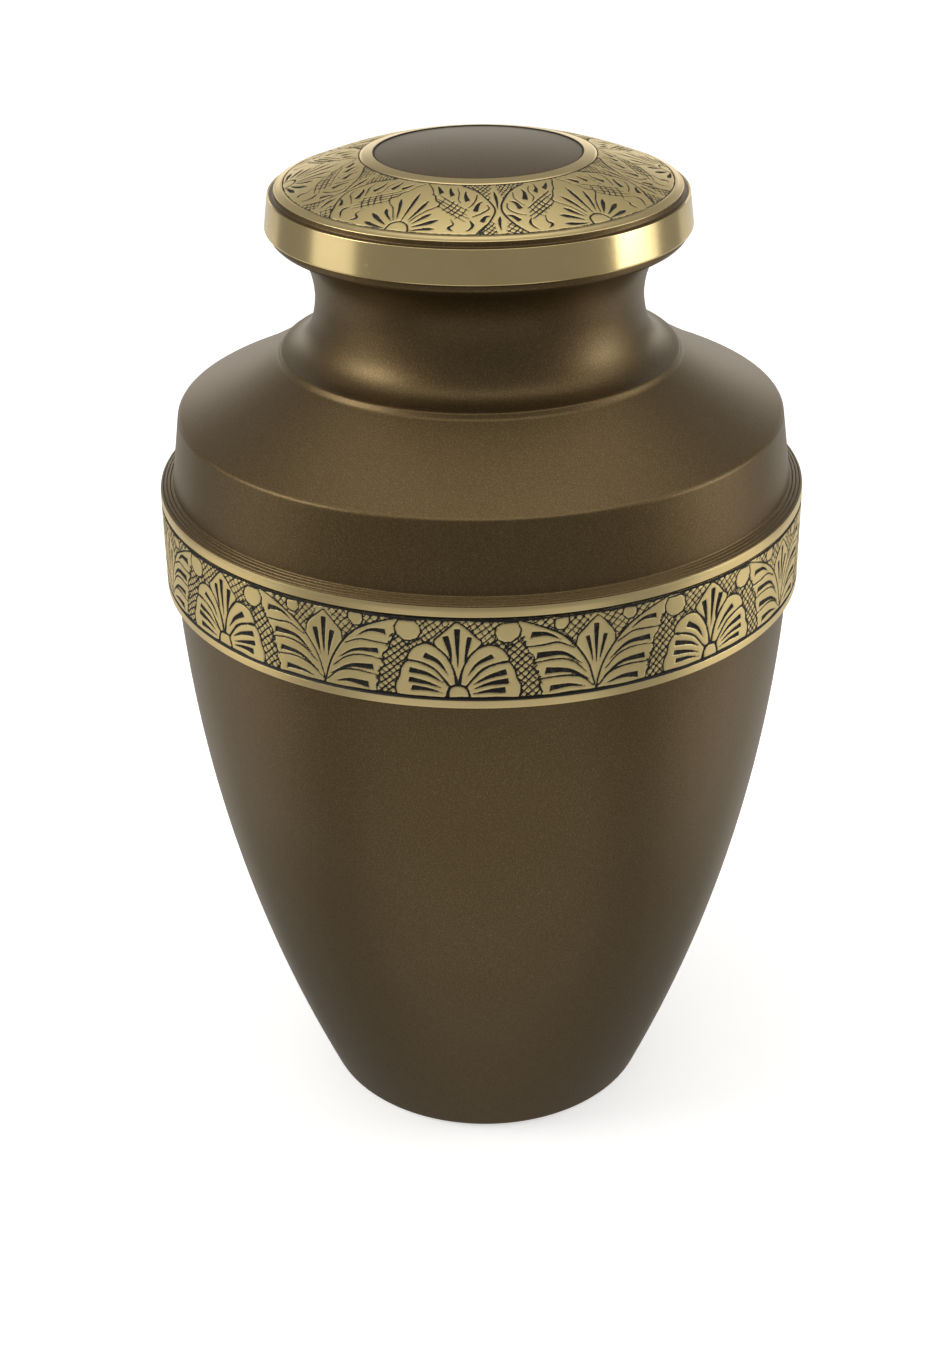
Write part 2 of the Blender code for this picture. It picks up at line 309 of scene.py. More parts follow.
@dataclass(frozen=True)
class EngravedBrass:
    """Satin brass plate whose cuts are filled with black, worn in places and smeared round the cuts."""

    tone: Colour = (0.785, 0.635, 0.310, 1.0)
    warm: Colour = (0.690, 0.530, 0.235, 1.0)
    black: Colour = (0.006, 0.005, 0.004, 1.0)
    smear: Colour = (0.240, 0.180, 0.090, 1.0)
    lines_per_metre: float = 4200.0
    clouds_per_metre: float = 60.0
    teeth_per_metre: float = 2400.0
    wear_per_metre: float = 900.0
    smears_per_metre: float = 500.0
    cloud_range: Range = (0.30, 0.80)
    wear_range: Range = (0.50, 0.66)
    smear_range: Range = (0.44, 0.72)
    ragged_mm: float = 0.20
    spread_mm: float = 0.03
    edge_mm: Range = (0.07, -0.07)
    wear_mm: Range = (-0.12, -0.42)
    smear_mm: Range = (0.42, 0.0)
    brim_mm: Range = (-0.30, 0.10)
    warm_share: float = 0.50
    wear_share: float = 0.22
    smear_share: float = 0.45
    ink_dulls: float = 0.9
    roughness: float = 0.34
    line_roughness: float = 0.08
    cloud_roughness: float = 0.06
    ink_roughness: float = 0.30
    line_height: float = 0.12
    relief: float = 0.12 * MM
    relief_strength: float = 0.8

    def build(self) -> bpy.types.Material:
        """Makes the finish, which reads the attribute "cut_mm" that a plate carries.

        Returns:
            The material.
        """
        graph = Graph("engraved_brass")
        place = graph.place()
        lines = graph.noise(graph.lathe_place(), self.lines_per_metre)
        clouds = graph.noise(place, self.clouds_per_metre, 3.0, 0.6)
        teeth = graph.noise(place, self.teeth_per_metre) - 0.5
        cut = graph.attribute("cut_mm") + teeth * self.ragged_mm - self.spread_mm
        ink = cut.step(*self.edge_mm)
        wear = graph.noise(place, self.wear_per_metre).step(*self.wear_range)
        smear = graph.noise(place, self.smears_per_metre, 3.0).step(*self.smear_range)
        metal = graph.mix(clouds.step(*self.cloud_range) * self.warm_share, self.tone, self.warm)
        metal = graph.mix(cut.step(*self.smear_mm) * smear * self.smear_share, metal, self.smear)
        filled = graph.mix(cut.step(*self.wear_mm) * wear * self.wear_share, self.black, self.smear)
        height = lines * self.line_height + cut.step(*self.brim_mm)
        roughness = self.roughness + lines * self.line_roughness + clouds * self.cloud_roughness
        graph.set(
            Base_Color=graph.mix(ink, metal, filled), Metallic=1.0 - ink * self.ink_dulls,
            Roughness=roughness + ink * self.ink_roughness,
            Normal=graph.bump(height, self.relief, self.relief_strength),
        )
        return graph.material


@dataclass(frozen=True)
class BlackPatinaAndShade:
    """The matt black left in a turned line; the same black in the lid's sunk ring round its disc is painted
    shade.
    """

    tone: Colour = (0.016, 0.014, 0.012, 1.0)
    bare: Colour = (0.09, 0.07, 0.04, 1.0)
    flecks_per_metre: float = 1500.0
    fleck_range: Range = (0.6, 0.8)
    fleck_share: float = 0.5
    roughness: float = 0.55
    fleck_roughness: float = 0.2

    def build(self) -> bpy.types.Material:
        """Makes the finish.

        Returns:
            The material.
        """
        graph = Graph("black_patina")
        flecks = graph.noise(graph.place(), self.flecks_per_metre)
        graph.set(
            Base_Color=graph.mix(flecks.step(*self.fleck_range) * self.fleck_share, self.tone, self.bare),
            Roughness=self.roughness + flecks * self.fleck_roughness,
        )
        return graph.material


@dataclass(frozen=True)
class PaleFloor:
    """The studio's plain pale sweep."""

    tone: Colour = (0.86, 0.86, 0.86, 1.0)
    light: Colour = (1.0, 1.0, 1.0, 1.0)
    glow: float = 0.55
    roughness: float = 0.9
    sheen: float = 0.1

    def build(self) -> bpy.types.Material:
        """Makes the finish.

        Returns:
            The material.
        """
        graph = Graph("pale_floor")
        graph.set(
            Base_Color=self.tone, Roughness=self.roughness, Specular_IOR_Level=self.sheen,
            Emission_Color=self.light, Emission_Strength=self.glow,
        )
        return graph.material


class Slot(Enum):
    """The finishes in the order of a piece's material slots."""

    LACQUER = 0
    POLISHED = 1
    SATIN = 2
    ENGRAVED = 3
    # black of the turned lines, and painted shade in the lid's sunk ring round its disc
    PATINA = 4


Finishes = dict[Slot, bpy.types.Material]


# Turned surfaces

CORNER_SHARE = 0.45  # the most of a stretch that one corner's curve takes up
SUPPORT_SHARE = 0.49  # the same with the support point beside it
SUPPORT = 0.25 * MM  # the most that a support point stands outside its curve
SAME_PLACE = 2e-7  # points of a profile that are no further apart than this are one


def bend(start: Point, control: Point, end: Point, steps: int) -> np.ndarray:
    """Points of a quadratic curve: (1-t)^2 start + 2t(1-t) control + t^2 end, for t from 0 to 1.

    Args:
        start: the first point.
        control: the point that pulls the curve.
        end: the last point.
        steps: how many stretches the curve has.

    Returns:
        An array of (radius, height) rows.
    """
    t = np.linspace(0, 1, steps + 1)[:, None]
    return (1 - t) ** 2 * np.array(start) + 2 * t * (1 - t) * np.array(control) + t ** 2 * np.array(end)


def eased(line: np.ndarray, reach: np.ndarray, steps: int = 4) -> np.ndarray:
    """Rounds a line's corners: each corner P becomes the quadratic curve from P - r a to P + r b, which P
    pulls, where a and b are the unit directions in and out and r is that corner's reach. A support point
    stands a little outside each end, so that smooth shading stays flat between two corners.

    Args:
        line: the corners, as (radius, height) rows.
        reach: how far from each corner its curve starts; 0 leaves the point as it is.
        steps: stretches in each curve.

    Returns:
        The finer line.
    """
    into = np.diff(line, axis=0, prepend=line[:1])
    length_in = np.linalg.norm(into, axis=1)
    into = into / np.maximum(length_in, 1e-12)[:, None]
    out, length_out = np.roll(into, -1, axis=0), np.roll(length_in, -1)
    out[-1] = 0
    shortest = np.minimum(length_in, length_out)
    reach = np.minimum(reach, CORNER_SHARE * shortest)
    extra = np.where(reach > 0, np.clip(SUPPORT_SHARE * shortest - reach, 0, SUPPORT), 0)
    t = np.linspace(0, 1, steps + 1)[None, :, None]
    a, b = line - into * reach[:, None], line + out * reach[:, None]
    curve = (1 - t) ** 2 * a[:, None] + 2 * t * (1 - t) * line[:, None] + t ** 2 * b[:, None]
    before, after = a - into * extra[:, None], b + out * extra[:, None]
    points = np.concatenate([before[:, None], curve, after[:, None]], axis=1).reshape(-1, 2)
    keep = np.concatenate([[True], np.linalg.norm(np.diff(points, axis=0), axis=1) > SAME_PLACE])
    return points[keep]


@dataclass
class Outline:
    """A profile that grows corner by corner and curve by curve."""

    points: list[np.ndarray] = field(default_factory=list)
    reaches: list[np.ndarray] = field(default_factory=list)

    def corner(self, radius: float, height: float, reach: float = 0.0) -> "Outline":
        """Adds one corner, rounded by reach."""
        return self.curve(np.array([[radius, height]]), reach)

    def curve(self, line: np.ndarray, reach: float = 0.0) -> "Outline":
        """Adds a curve's points.

        Args:
            line: its (radius, height) rows.
            reach: how far each of them is rounded.

        Returns:
            The outline itself.
        """
        self.points.append(np.asarray(line, float))
        self.reaches.append(np.full(len(line), reach))
        return self

    def line(self) -> np.ndarray:
        """The finished profile."""
        return eased(np.concatenate(self.points), np.concatenate(self.reaches))


def angles(columns: int) -> np.ndarray:
    """Even angles once round the axis, from the front on."""
    return np.linspace(0, math.tau, columns, endpoint=False)


def turned(radius: np.ndarray, height: np.ndarray, columns: int) -> np.ndarray:
    """Turns points about Z: (r, z) at angle a is (r sin a, -r cos a, z), so a = 0 faces the front.

    Args:
        radius: r of each row, in one column or in as many as there are angles.
        height: z, laid out as r is.
        columns: how many angles there are.

    Returns:
        The places row by row.
    """
    angle = angles(columns)
    places = [radius * np.sin(angle), -radius * np.cos(angle), height + 0 * angle]
    return np.stack(places, axis=-1).reshape(-1, 3)


def revolve(name: str, line: np.ndarray, columns: int) -> bpy.types.Object:
    """Turns a profile that starts and ends on the axis, where one vertex closes each pole.

    Args:
        name: the piece's name.
        line: the profile.
        columns: how many places round the axis.

    Returns:
        The piece.
    """
    rings = line[1:-1]
    return weave(name, turned(rings[:, :1], rings[:, 1:], columns), columns, (line[0, 1], line[-1, 1]))


def weave(name: str, points: np.ndarray, columns: int, poles: Point | None) -> bpy.types.Object:
    """Joins rows of points into a closed skin: each cell is the quad (row, column), (row, column + 1),
    (row + 1, column + 1), (row + 1, column), and a fan of triangles closes each pole.

    Args:
        name: the piece's name.
        points: the places row by row.
        columns: how many of them are in a row, of which the last one meets the first.
        poles: the heights of the two poles, or None for a ring, whose last row meets its first.

    Returns:
        The piece, with an integer attribute "row" on its faces: the profile stretch that each lies on.
    """
    rows = len(points) // columns
    column = np.arange(columns)
    after = (column + 1) % columns
    row = np.arange(rows if poles is None else rows - 1)[:, None]
    below = (row + 1) % rows
    quads = np.stack([
        row * columns + column, row * columns + after, below * columns + after, below * columns + column,
    ], axis=-1).reshape(-1, 4)
    stretch = np.repeat(np.arange(len(row)) + (0 if poles is None else 1), columns)
    loops, starts, totals = quads.reshape(-1), np.arange(len(quads)) * 4, np.full(len(quads), 4)
    if poles is not None:
        first, last = len(points), len(points) + 1
        points = np.concatenate([points, [[0, 0, poles[0]], [0, 0, poles[1]]]])
        base = (rows - 1) * columns
        low = np.stack([np.full(columns, first), after, column], axis=-1)
        high = np.stack([np.full(columns, last), base + column, base + after], axis=-1)
        fans = np.concatenate([low, high])
        starts = np.concatenate([starts, len(loops) + np.arange(len(fans)) * 3])
        totals = np.concatenate([totals, np.full(len(fans), 3)])
        loops = np.concatenate([loops, fans.reshape(-1)])
        stretch = np.concatenate([stretch, np.zeros(columns, int), np.full(columns, rows)])
    mesh = bpy.data.meshes.new(name)
    mesh.vertices.add(len(points))
    mesh.vertices.foreach_set("co", points.astype(np.float32).reshape(-1))
    mesh.loops.add(len(loops))
    mesh.loops.foreach_set("vertex_index", loops.astype(np.int32))
    mesh.polygons.add(len(starts))
    mesh.polygons.foreach_set("loop_start", starts.astype(np.int32))
    mesh.polygons.foreach_set("loop_total", totals.astype(np.int32))
    mesh.update(calc_edges=True)
    mesh.attributes.new("row", "INT", "FACE").data.foreach_set("value", stretch.astype(np.int32))
    mesh.validate()
    mesh.shade_smooth()
    made = bpy.data.objects.new(name, mesh)
    bpy.context.scene.collection.objects.link(made)
    return made


def middles(line: np.ndarray) -> np.ndarray:
    """The radii and the heights of the middles of a profile's stretches."""
    return ((line[:-1] + line[1:]) / 2).T


def paint(piece: bpy.types.Object, finishes: Finishes, whole: Slot, *zones: tuple[np.ndarray, Slot]) -> None:
    """Gives each of the piece's faces the finish of the profile stretch that it lies on.

    Args:
        piece: the piece.
        finishes: the material of each slot.
        whole: the finish outside the zones.
        zones: which stretches have another finish, and which one; a later zone lies over an earlier one.
    """
    for slot in Slot:
        piece.data.materials.append(finishes[slot])
    row = np.zeros(len(piece.data.polygons), np.int32)
    piece.data.attributes["row"].data.foreach_get("value", row)
    slots = np.full(row.max() + 1, whole.value, np.int32)
    for inside, slot in zones:
        slots[inside] = slot.value
    piece.data.polygons.foreach_set("material_index", slots[row])
    piece.data.update()


# Drawing the engraving

FAR = 9.0  # millimetres to the nearest cut where nothing is drawn
LINE_ENDS = 0.72  # a scribed line's width at its ends, as a share of its full width
WEDGE_TIP = 0.10  # a wedge's width at its thin end, in the same way
WEDGE_POWER = 0.9  # the power of the way along a wedge with which its width grows
LINE_SPREAD = (0.90, 1.15)  # how narrow or wide a line may come out, as a share of its width
WEDGE_SPREAD = (0.85, 1.15)  # the same for a wedge
SPINDLE_END = 1.04  # the share of a spindle's length at which it would come to nothing
SPINDLE_TAPER = 0.30  # the share of its length over which it does so
HOOK_ROOT = (0.25, 0.30)  # how far behind the tip a hook starts, and its half width, as shares of the wedge's
HOOK_POINT = 0.10  # a hook's half width at its point, and how far it drifts on, in millimetres
HATCH_CROSSING = 92.0  # degrees between the two sets of lines in a hatching
HATCH_SLIP = 3.0  # degrees by which a set may be off its slant
HATCH_SPREAD = (0.92, 1.08)  # how narrow or wide its pitch may come out, as a share
HATCH_OVERRUN = (0.25, 0.45)  # millimetres by which every line overruns, and by which some go further
HATCH_STANDOFF = 0.12  # millimetres from a petal's edge to the hatching beside it


class Side(Enum):
    """The two halves of a motif, in the order in which they are cut. Tables hold the right half."""

    RIGHT = 1
    LEFT = -1

    def of(self, points: Table) -> Table:
        """The same points on this side of the middle line."""
        return tuple((self.value * x, y) for x, y in points)


@dataclass
class Drawing:
    """A patch of the plate, in millimetres, on which cuts are drawn as a distance field.

    x and y are the places of its points. cut is each point's distance to the nearest cut's edge, negative
    inside a cut, and solid is its distance to the nearest petal, which hatching keeps off.
    """

    x: np.ndarray
    y: np.ndarray
    rng: np.random.Generator
    cut: np.ndarray = field(init=False)
    solid: np.ndarray = field(init=False)

    def __post_init__(self) -> None:
        """Starts with nothing drawn."""
        self.cut = np.full(self.x.shape, FAR)
        self.solid = np.full(self.x.shape, FAR)

    def _take(self, gap: np.ndarray) -> None:
        """Adds one cut to the field."""
        np.minimum(self.cut, gap, out=self.cut)

    def _by_hand(self, points: object, shake: float) -> np.ndarray:
        """The points, each moved a little."""
        corners = np.array(points, float)
        return corners + self.rng.normal(0, shake, corners.shape)

    @staticmethod
    def smooth(points: np.ndarray, steps: int = 7) -> np.ndarray:
        """A smooth curve through the points: each stretch is the cubic whose slope at a point is that of the
        chord between the point's neighbours.

        Args:
            points: (x, y) rows.
            steps: how many stretches lie between two of them.

        Returns:
            The curve's (x, y) rows.
        """
        p = np.concatenate([[2 * points[0] - points[1]], points, [2 * points[-1] - points[-2]]])
        t = np.linspace(0, 1, steps, endpoint=False)[None, :, None]
        a, b, c, d = (p[i:len(p) - 3 + i][:, None] for i in range(4))
        square, cube = 2 * a - 5 * b + 4 * c - d, 3 * b - a - 3 * c + d
        curve = 0.5 * (2 * b + (c - a) * t + square * t ** 2 + cube * t ** 3)
        return np.concatenate([curve.reshape(-1, 2), points[-1:]])

    def _to_line(self, line: np.ndarray, widths: np.ndarray) -> np.ndarray:
        """Distance to a line of changing half width: the least of |p - nearest| - width over its stretches.

        Args:
            line: (x, y) rows.
            widths: the half width at each of them.

        Returns:
            The distance at each point of the patch.
        """
        best = np.full(self.x.shape, FAR)
        for (ax, ay), (bx, by), wa, wb in zip(line, line[1:], widths, widths[1:]):
            dx, dy = bx - ax, by - ay
            t = np.clip(((self.x - ax) * dx + (self.y - ay) * dy) / max(dx * dx + dy * dy, 1e-9), 0, 1)
            gap = np.hypot(self.x - ax - t * dx, self.y - ay - t * dy) - (wa + (wb - wa) * t)
            np.minimum(best, gap, out=best)
        return best

    def line(self, points: object, width: float, shake: float = 0.10) -> None:
        """Scribes an even line through the points, thinner at its ends.

        Args:
            points: (x, y) rows.
            width: its full width.
            shake: how unsteady the hand is.
        """
        curve = self.smooth(self._by_hand(points, shake))
        t = np.linspace(0, 1, len(curve))
        swell = LINE_ENDS + (1 - LINE_ENDS) * np.sin(math.pi * t)
        self._take(self._to_line(curve, width / 2 * swell * self.rng.uniform(*LINE_SPREAD)))

    def wedge(
        self, points: object, width: float, shake: float = 0.12, hook: float = 0.0, spindle: bool = False,
    ) -> None:
        """Chops a wedge: it starts as a point at the first of the points, widens and ends square at the last.

        Args:
            points: (x, y) rows from the thin end to the broad end.
            width: its full width at the broad end.
            shake: how unsteady the hand is.
            hook: how far the broad end turns down, in millimetres.
            spindle: whether the broad end runs out to a point as well.
        """
        curve = self.smooth(self._by_hand(points, shake))
        t = np.linspace(0, 1, len(curve))
        swell = WEDGE_TIP + (1 - WEDGE_TIP) * t ** WEDGE_POWER
        half = width / 2 * swell * self.rng.uniform(*WEDGE_SPREAD)
        if spindle:
            half = half * np.minimum(1, (SPINDLE_END - t) / SPINDLE_TAPER)
        gap = self._to_line(curve, half)
        if not spindle:
            tip, way = curve[-1], curve[-1] - curve[-3]
            way = way / max(np.linalg.norm(way), 1e-9)
            gap = np.maximum(gap, (self.x - tip[0]) * way[0] + (self.y - tip[1]) * way[1])
            if hook:
                behind, half_root = HOOK_ROOT
                claw = np.array([tip - way * width * behind, tip + np.array([HOOK_POINT * way[0], -hook])])
                gap = np.minimum(gap, self._to_line(claw, np.array([width * half_root, HOOK_POINT])))
        self._take(gap)

    def area(self, points: object, shake: float = 0.08, curved: bool = True) -> np.ndarray:
        """Signed distance to a closed shape, negative inside: the distance to its edge, with the sign from
        counting the edges that a ray towards +x crosses.

        Args:
            points: its (x, y) corners in order.
            shake: how unsteady the hand is.
            curved: whether the edge is a smooth curve through the corners.

        Returns:
            The distance at each point of the patch.
        """
        corners = self._by_hand(points, shake)
        loop = np.concatenate([corners, corners[:1]])
        if curved:
            loop = self.smooth(loop, 5)
        edge = self._to_line(loop, np.zeros(len(loop)))
        inside = np.zeros(self.x.shape, bool)
        for (ax, ay), (bx, by) in zip(loop, loop[1:]):
            crosses = (ay > self.y) != (by > self.y)
            with np.errstate(divide="ignore", invalid="ignore"):
                at = ax + (self.y - ay) * (bx - ax) / (by - ay)
            inside ^= crosses & (self.x < at)
        return np.where(inside, -edge, edge)

    def spare(self, points: object, shake: float = 0.08, curved: bool = True) -> np.ndarray:
        """Keeps hatching off a closed shape.

        Args:
            points: its (x, y) corners in order.
            shake: how unsteady the hand is.
            curved: whether the edge is a smooth curve through the corners.

        Returns:
            The distance to its edge at each point of the patch, negative inside.
        """
        edge = self.area(points, shake, curved)
        self.solid = np.minimum(self.solid, edge)
        return edge

    def petal(self, points: object, width: float, curved: bool = True) -> None:
        """Outlines a closed shape and keeps hatching off it."""
        self._take(np.abs(self.spare(points, curved=curved)) - width / 2)

    def hatch(self, points: object, pitch: float = 1.38, width: float = 0.28, turn: float = 45.0) -> None:
        """Cross-hatches a shape: two sets of parallel lines, |((p . n) mod pitch) - pitch / 2| - width / 2
        each, which waver, overrun the shape's edge a little and stop at every petal.

        Args:
            points: the shape's (x, y) corners.
            pitch: the distance between two lines.
            width: a line's full width.
            turn: the lines' slant in degrees.
        """
        region = self.area(points, curved=False)
        lines = np.full(self.x.shape, FAR)
        for slant in (turn, turn - HATCH_CROSSING):
            slant = math.radians(slant + self.rng.normal(0, HATCH_SLIP))
            across = self.x * math.cos(slant) + self.y * math.sin(slant)
            along = self.y * math.cos(slant) - self.x * math.sin(slant)
            step = pitch * self.rng.uniform(*HATCH_SPREAD)
            number = np.floor(across / step)
            least, more = HATCH_OVERRUN
            overrun = least + more * np.sin(number * 12.9898 + self.rng.uniform(0, 6)) ** 2
            wave = 0.10 * np.sin(along * 0.9 + number * 2.1)
            gap = np.abs((across + wave) % step - step / 2) - width / 2
            lines = np.minimum(lines, np.maximum(gap, region - overrun))
        self._take(np.maximum(lines, HATCH_STANDOFF - self.solid))


class Motif(Protocol):
    """Something that is cut round a middle line."""

    def draw(self, on: Drawing) -> None:
        """Cuts it round x = 0."""


@dataclass(frozen=True)
class Palmette:
    """The belt's palmette: a half-round boss, a pointed petal over it and two round ones on each side."""

    boss: Table = ((-2.3, -0.6), (-2.3, 1.5), (-1.5, 2.8), (0.0, 3.1), (1.5, 2.8), (2.3, 1.5), (2.3, -0.6))
    middle: Table = (
        (0.0, 3.2), (-1.1, 7.4), (-2.8, 10.8), (-5.0, 13.2), (-5.6, 14.6), (-4.2, 16.0), (-2.0, 18.2),
        (0.0, 19.6), (2.0, 18.2), (4.2, 16.0), (5.6, 14.6), (5.0, 13.2), (2.8, 10.8), (1.1, 7.4),
    )
    upper: Table = (
        (0.4, 3.4), (1.2, 7.4), (2.9, 10.8), (5.2, 13.2), (7.6, 13.7), (10.0, 12.9), (11.5, 11.3),
        (11.8, 9.3), (8.6, 8.7), (5.7, 7.3), (3.6, 5.0), (1.9, 3.0),
    )
    lower: Table = (
        (2.0, 2.9), (3.7, 5.1), (5.8, 7.2), (8.6, 8.6), (11.6, 9.2), (13.4, 7.2), (13.9, 4.8),
        (14.9, 2.8), (14.6, 0.2), (13.0, -0.6), (4.0, -0.6), (2.4, 1.4),
    )
    blossom: Table = (
        (10.2, 19.4), (9.0, 18.4), (8.6, 16.6), (9.4, 15.0), (11.2, 14.2), (12.8, 14.4), (14.4, 15.8),
        (14.9, 17.6), (14.0, 19.4),
    )
    middle_bar: Table = ((0.0, 8.0), (0.0, 13.0), (0.0, 17.8))
    bars: tuple[Table, ...] = (
        ((1.5, 8.6), (2.0, 12.0), (2.9, 15.8)),
        ((2.3, 5.8), (4.7, 8.9), (8.0, 10.9)),
        ((3.6, 3.6), (7.0, 5.6), (11.3, 6.6)),
        ((3.8, 2.2), (7.4, 3.6), (11.7, 4.2)),
        ((3.6, 1.0), (7.4, 1.8), (11.0, 1.9)),
    )
    gaps: tuple[Table, ...] = (
        ((1.2, 20.6), (9.8, 20.6), (9.0, 17.0), (9.6, 14.6), (6.4, 14.0), (4.0, 16.6)),
        ((7.0, 14.2), (10.6, 15.2), (12.6, 13.6), (10.8, 12.4)),
    )

    def draw(self, on: Drawing) -> None:
        """Cuts the palmette round x = 0.

        Args:
            on: the patch of the plate.
        """
        on.petal(self.boss, 0.5)
        on.petal(self.middle, 0.42)
        for side in Side:
            on.petal(side.of(self.upper), 0.42)
            on.petal(side.of(self.lower), 0.42)
            on.petal(side.of(self.blossom), 0.36, curved=False)
        on.wedge(self.middle_bar, 1.25)
        for side in Side:
            for bar in self.bars:
                on.wedge(side.of(bar), 1.38, hook=0.4)
            for gap in self.gaps:
                on.hatch(side.of(gap), turn=38.0)


@dataclass(frozen=True)
class Palm:
    """The belt's palm: two stems part from a point and arch over four fronds each, with a bud between."""

    bud_field: Table = (
        (0.0, 19.2), (3.2, 16.2), (4.5, 14.4), (5.0, 12.0), (2.0, 7.0), (0.0, 2.0), (-2.0, 7.0),
        (-5.0, 12.0), (-4.5, 14.4), (-3.2, 16.2),
    )
    middle_bar: Table = ((0.0, 7.0), (0.0, 12.0), (0.0, 17.2))
    corner: Table = ((6.9, 19.8), (6.6, 18.0), (8.0, 16.6), (9.6, 16.8), (10.4, 17.8), (10.2, 19.6))
    stem: Table = (
        (0.0, 0.2), (0.6, 2.6), (2.0, 7.0), (4.9, 11.8), (8.2, 15.0), (11.6, 17.2), (15.8, 18.9),
        (20.0, 20.2),
    )
    bud: Table = ((0.0, 19.2), (1.5, 17.9), (3.2, 16.2), (4.5, 14.4), (5.0, 12.2))
    ribs: tuple[Table, ...] = (
        ((0.7, 0.9), (3.8, 3.7), (8.2, 4.7), (13.9, 4.2)),
        ((2.3, 4.9), (5.8, 8.0), (9.9, 9.1), (15.0, 8.6)),
        ((5.6, 11.4), (9.4, 13.2), (13.2, 13.0), (17.0, 12.9)),
    )
    tips: tuple[Table, ...] = (
        ((13.9, 4.2), (14.0, 3.0), (13.4, 1.6), (13.4, -0.2)),
        ((15.0, 8.6), (15.3, 7.2), (14.4, 5.8), (13.9, 4.3)),
        ((17.0, 12.9), (16.4, 11.4), (15.2, 10.2), (15.0, 8.7)),
        ((18.2, 16.8), (18.3, 15.4), (17.4, 14.2), (17.0, 13.0)),
    )
    bars: tuple[Table, ...] = (
        ((2.8, 0.9), (6.6, 1.8), (11.0, 1.6)),
        ((1.7, 2.6), (6.6, 5.7), (12.6, 6.3)),
        ((3.6, 7.2), (8.0, 10.4), (14.2, 10.7)),
        ((8.8, 14.0), (12.0, 15.8), (15.8, 16.0)),
    )
    bud_bar: Table = ((0.9, 7.2), (1.5, 10.4), (2.4, 14.0))
    gaps: tuple[Table, ...] = (
        ((1.4, 20.6), (6.4, 20.6), (6.6, 18.0), (8.2, 16.2), (5.6, 13.0), (4.8, 14.8), (3.4, 16.6)),
        ((10.6, 20.6), (16.4, 20.6), (9.8, 16.8)),
    )

    def draw(self, on: Drawing) -> None:
        """Cuts the palm round x = 0.

        Args:
            on: the patch of the plate.
        """
        on.spare(self.bud_field, curved=False)
        on.wedge(self.middle_bar, 1.3)
        for side in Side:
            on.petal(side.of(self.corner), 0.36, curved=False)
            on.line(side.of(self.stem), 0.46)
            on.line(side.of(self.bud), 0.42)
            for rib in self.ribs:
                on.line(side.of(rib), 0.42)
            for tip in self.tips:
                on.line(side.of(tip), 0.36)
            for bar in self.bars:
                on.wedge(side.of(bar), 1.42, hook=0.9)
            on.wedge(side.of(self.bud_bar), 1.20)
            for gap in self.gaps:
                on.hatch(side.of(gap), turn=50.0)


@dataclass(frozen=True)
class Lattice:
    """The hatched gap that leans between a palmette and a palm, measured from the palmette's middle line."""

    gap: Table = (
        (11.6, 14.0), (15.2, 15.2), (16.0, 13.0), (16.4, 11.4), (18.0, 8.8), (18.1, 7.2), (19.1, 4.4),
        (19.4, 1.6), (19.2, -0.4), (14.8, -0.4), (15.0, 2.8), (14.0, 5.0), (13.5, 7.4), (12.0, 10.0),
    )
    palmette: Palmette = Palmette()

    def draw(self, on: Drawing) -> None:
        """Hatches the gap on both sides of x = 0, clear of the palmette's petals.

        Args:
            on: the patch of the plate.
        """
        for side in Side:
            for shape in (self.palmette.upper, self.palmette.lower, self.palmette.blossom):
                on.spare(side.of(shape), shake=0.0)
        for side in Side:
            on.hatch(side.of(self.gap), pitch=1.36, width=0.34, turn=42.0)


@dataclass(frozen=True)
class Shell:
    """The lid's shell: rays fan out from a half-round boss, with a thin line down each side.

    A ray is its angle from upright in degrees, and where it starts and ends from the boss's middle.
    """

    boss: Table = ((-2.6, -0.4), (-2.4, 1.6), (-1.5, 2.8), (0.0, 3.2), (1.5, 2.8), (2.4, 1.6), (2.6, -0.4))
    middle_ray: tuple[float, float, float] = (0.0, 3.9, 15.0)
    rays: tuple[tuple[float, float, float], ...] = (
        (20.0, 4.3, 12.9), (43.0, 4.0, 10.0), (62.0, 3.8, 10.4), (80.0, 3.4, 9.4),
    )
    side_line: Table = ((9.2, 13.2), (7.6, 10.2), (5.0, 8.0), (3.4, 5.8), (2.2, 3.4))

    def draw(self, on: Drawing) -> None:
        """Cuts the shell round x = 0.

        Args:
            on: the patch of the plate.
        """
        on.petal(self.boss, 0.42)
        self._ray(on, *self.middle_ray)
        for turn, root, reach in self.rays:
            for side in Side:
                self._ray(on, side.value * turn, root, reach)
        for side in Side:
            on.line(side.of(self.side_line), 0.34)

    @staticmethod
    def _ray(on: Drawing, turn: float, root: float, reach: float) -> None:
        """Cuts one ray."""
        way = np.array([math.sin(math.radians(turn)), math.cos(math.radians(turn))])
        on.wedge((way * root, way * (root + reach) / 2, way * reach), 1.38, shake=0.16, spindle=True)


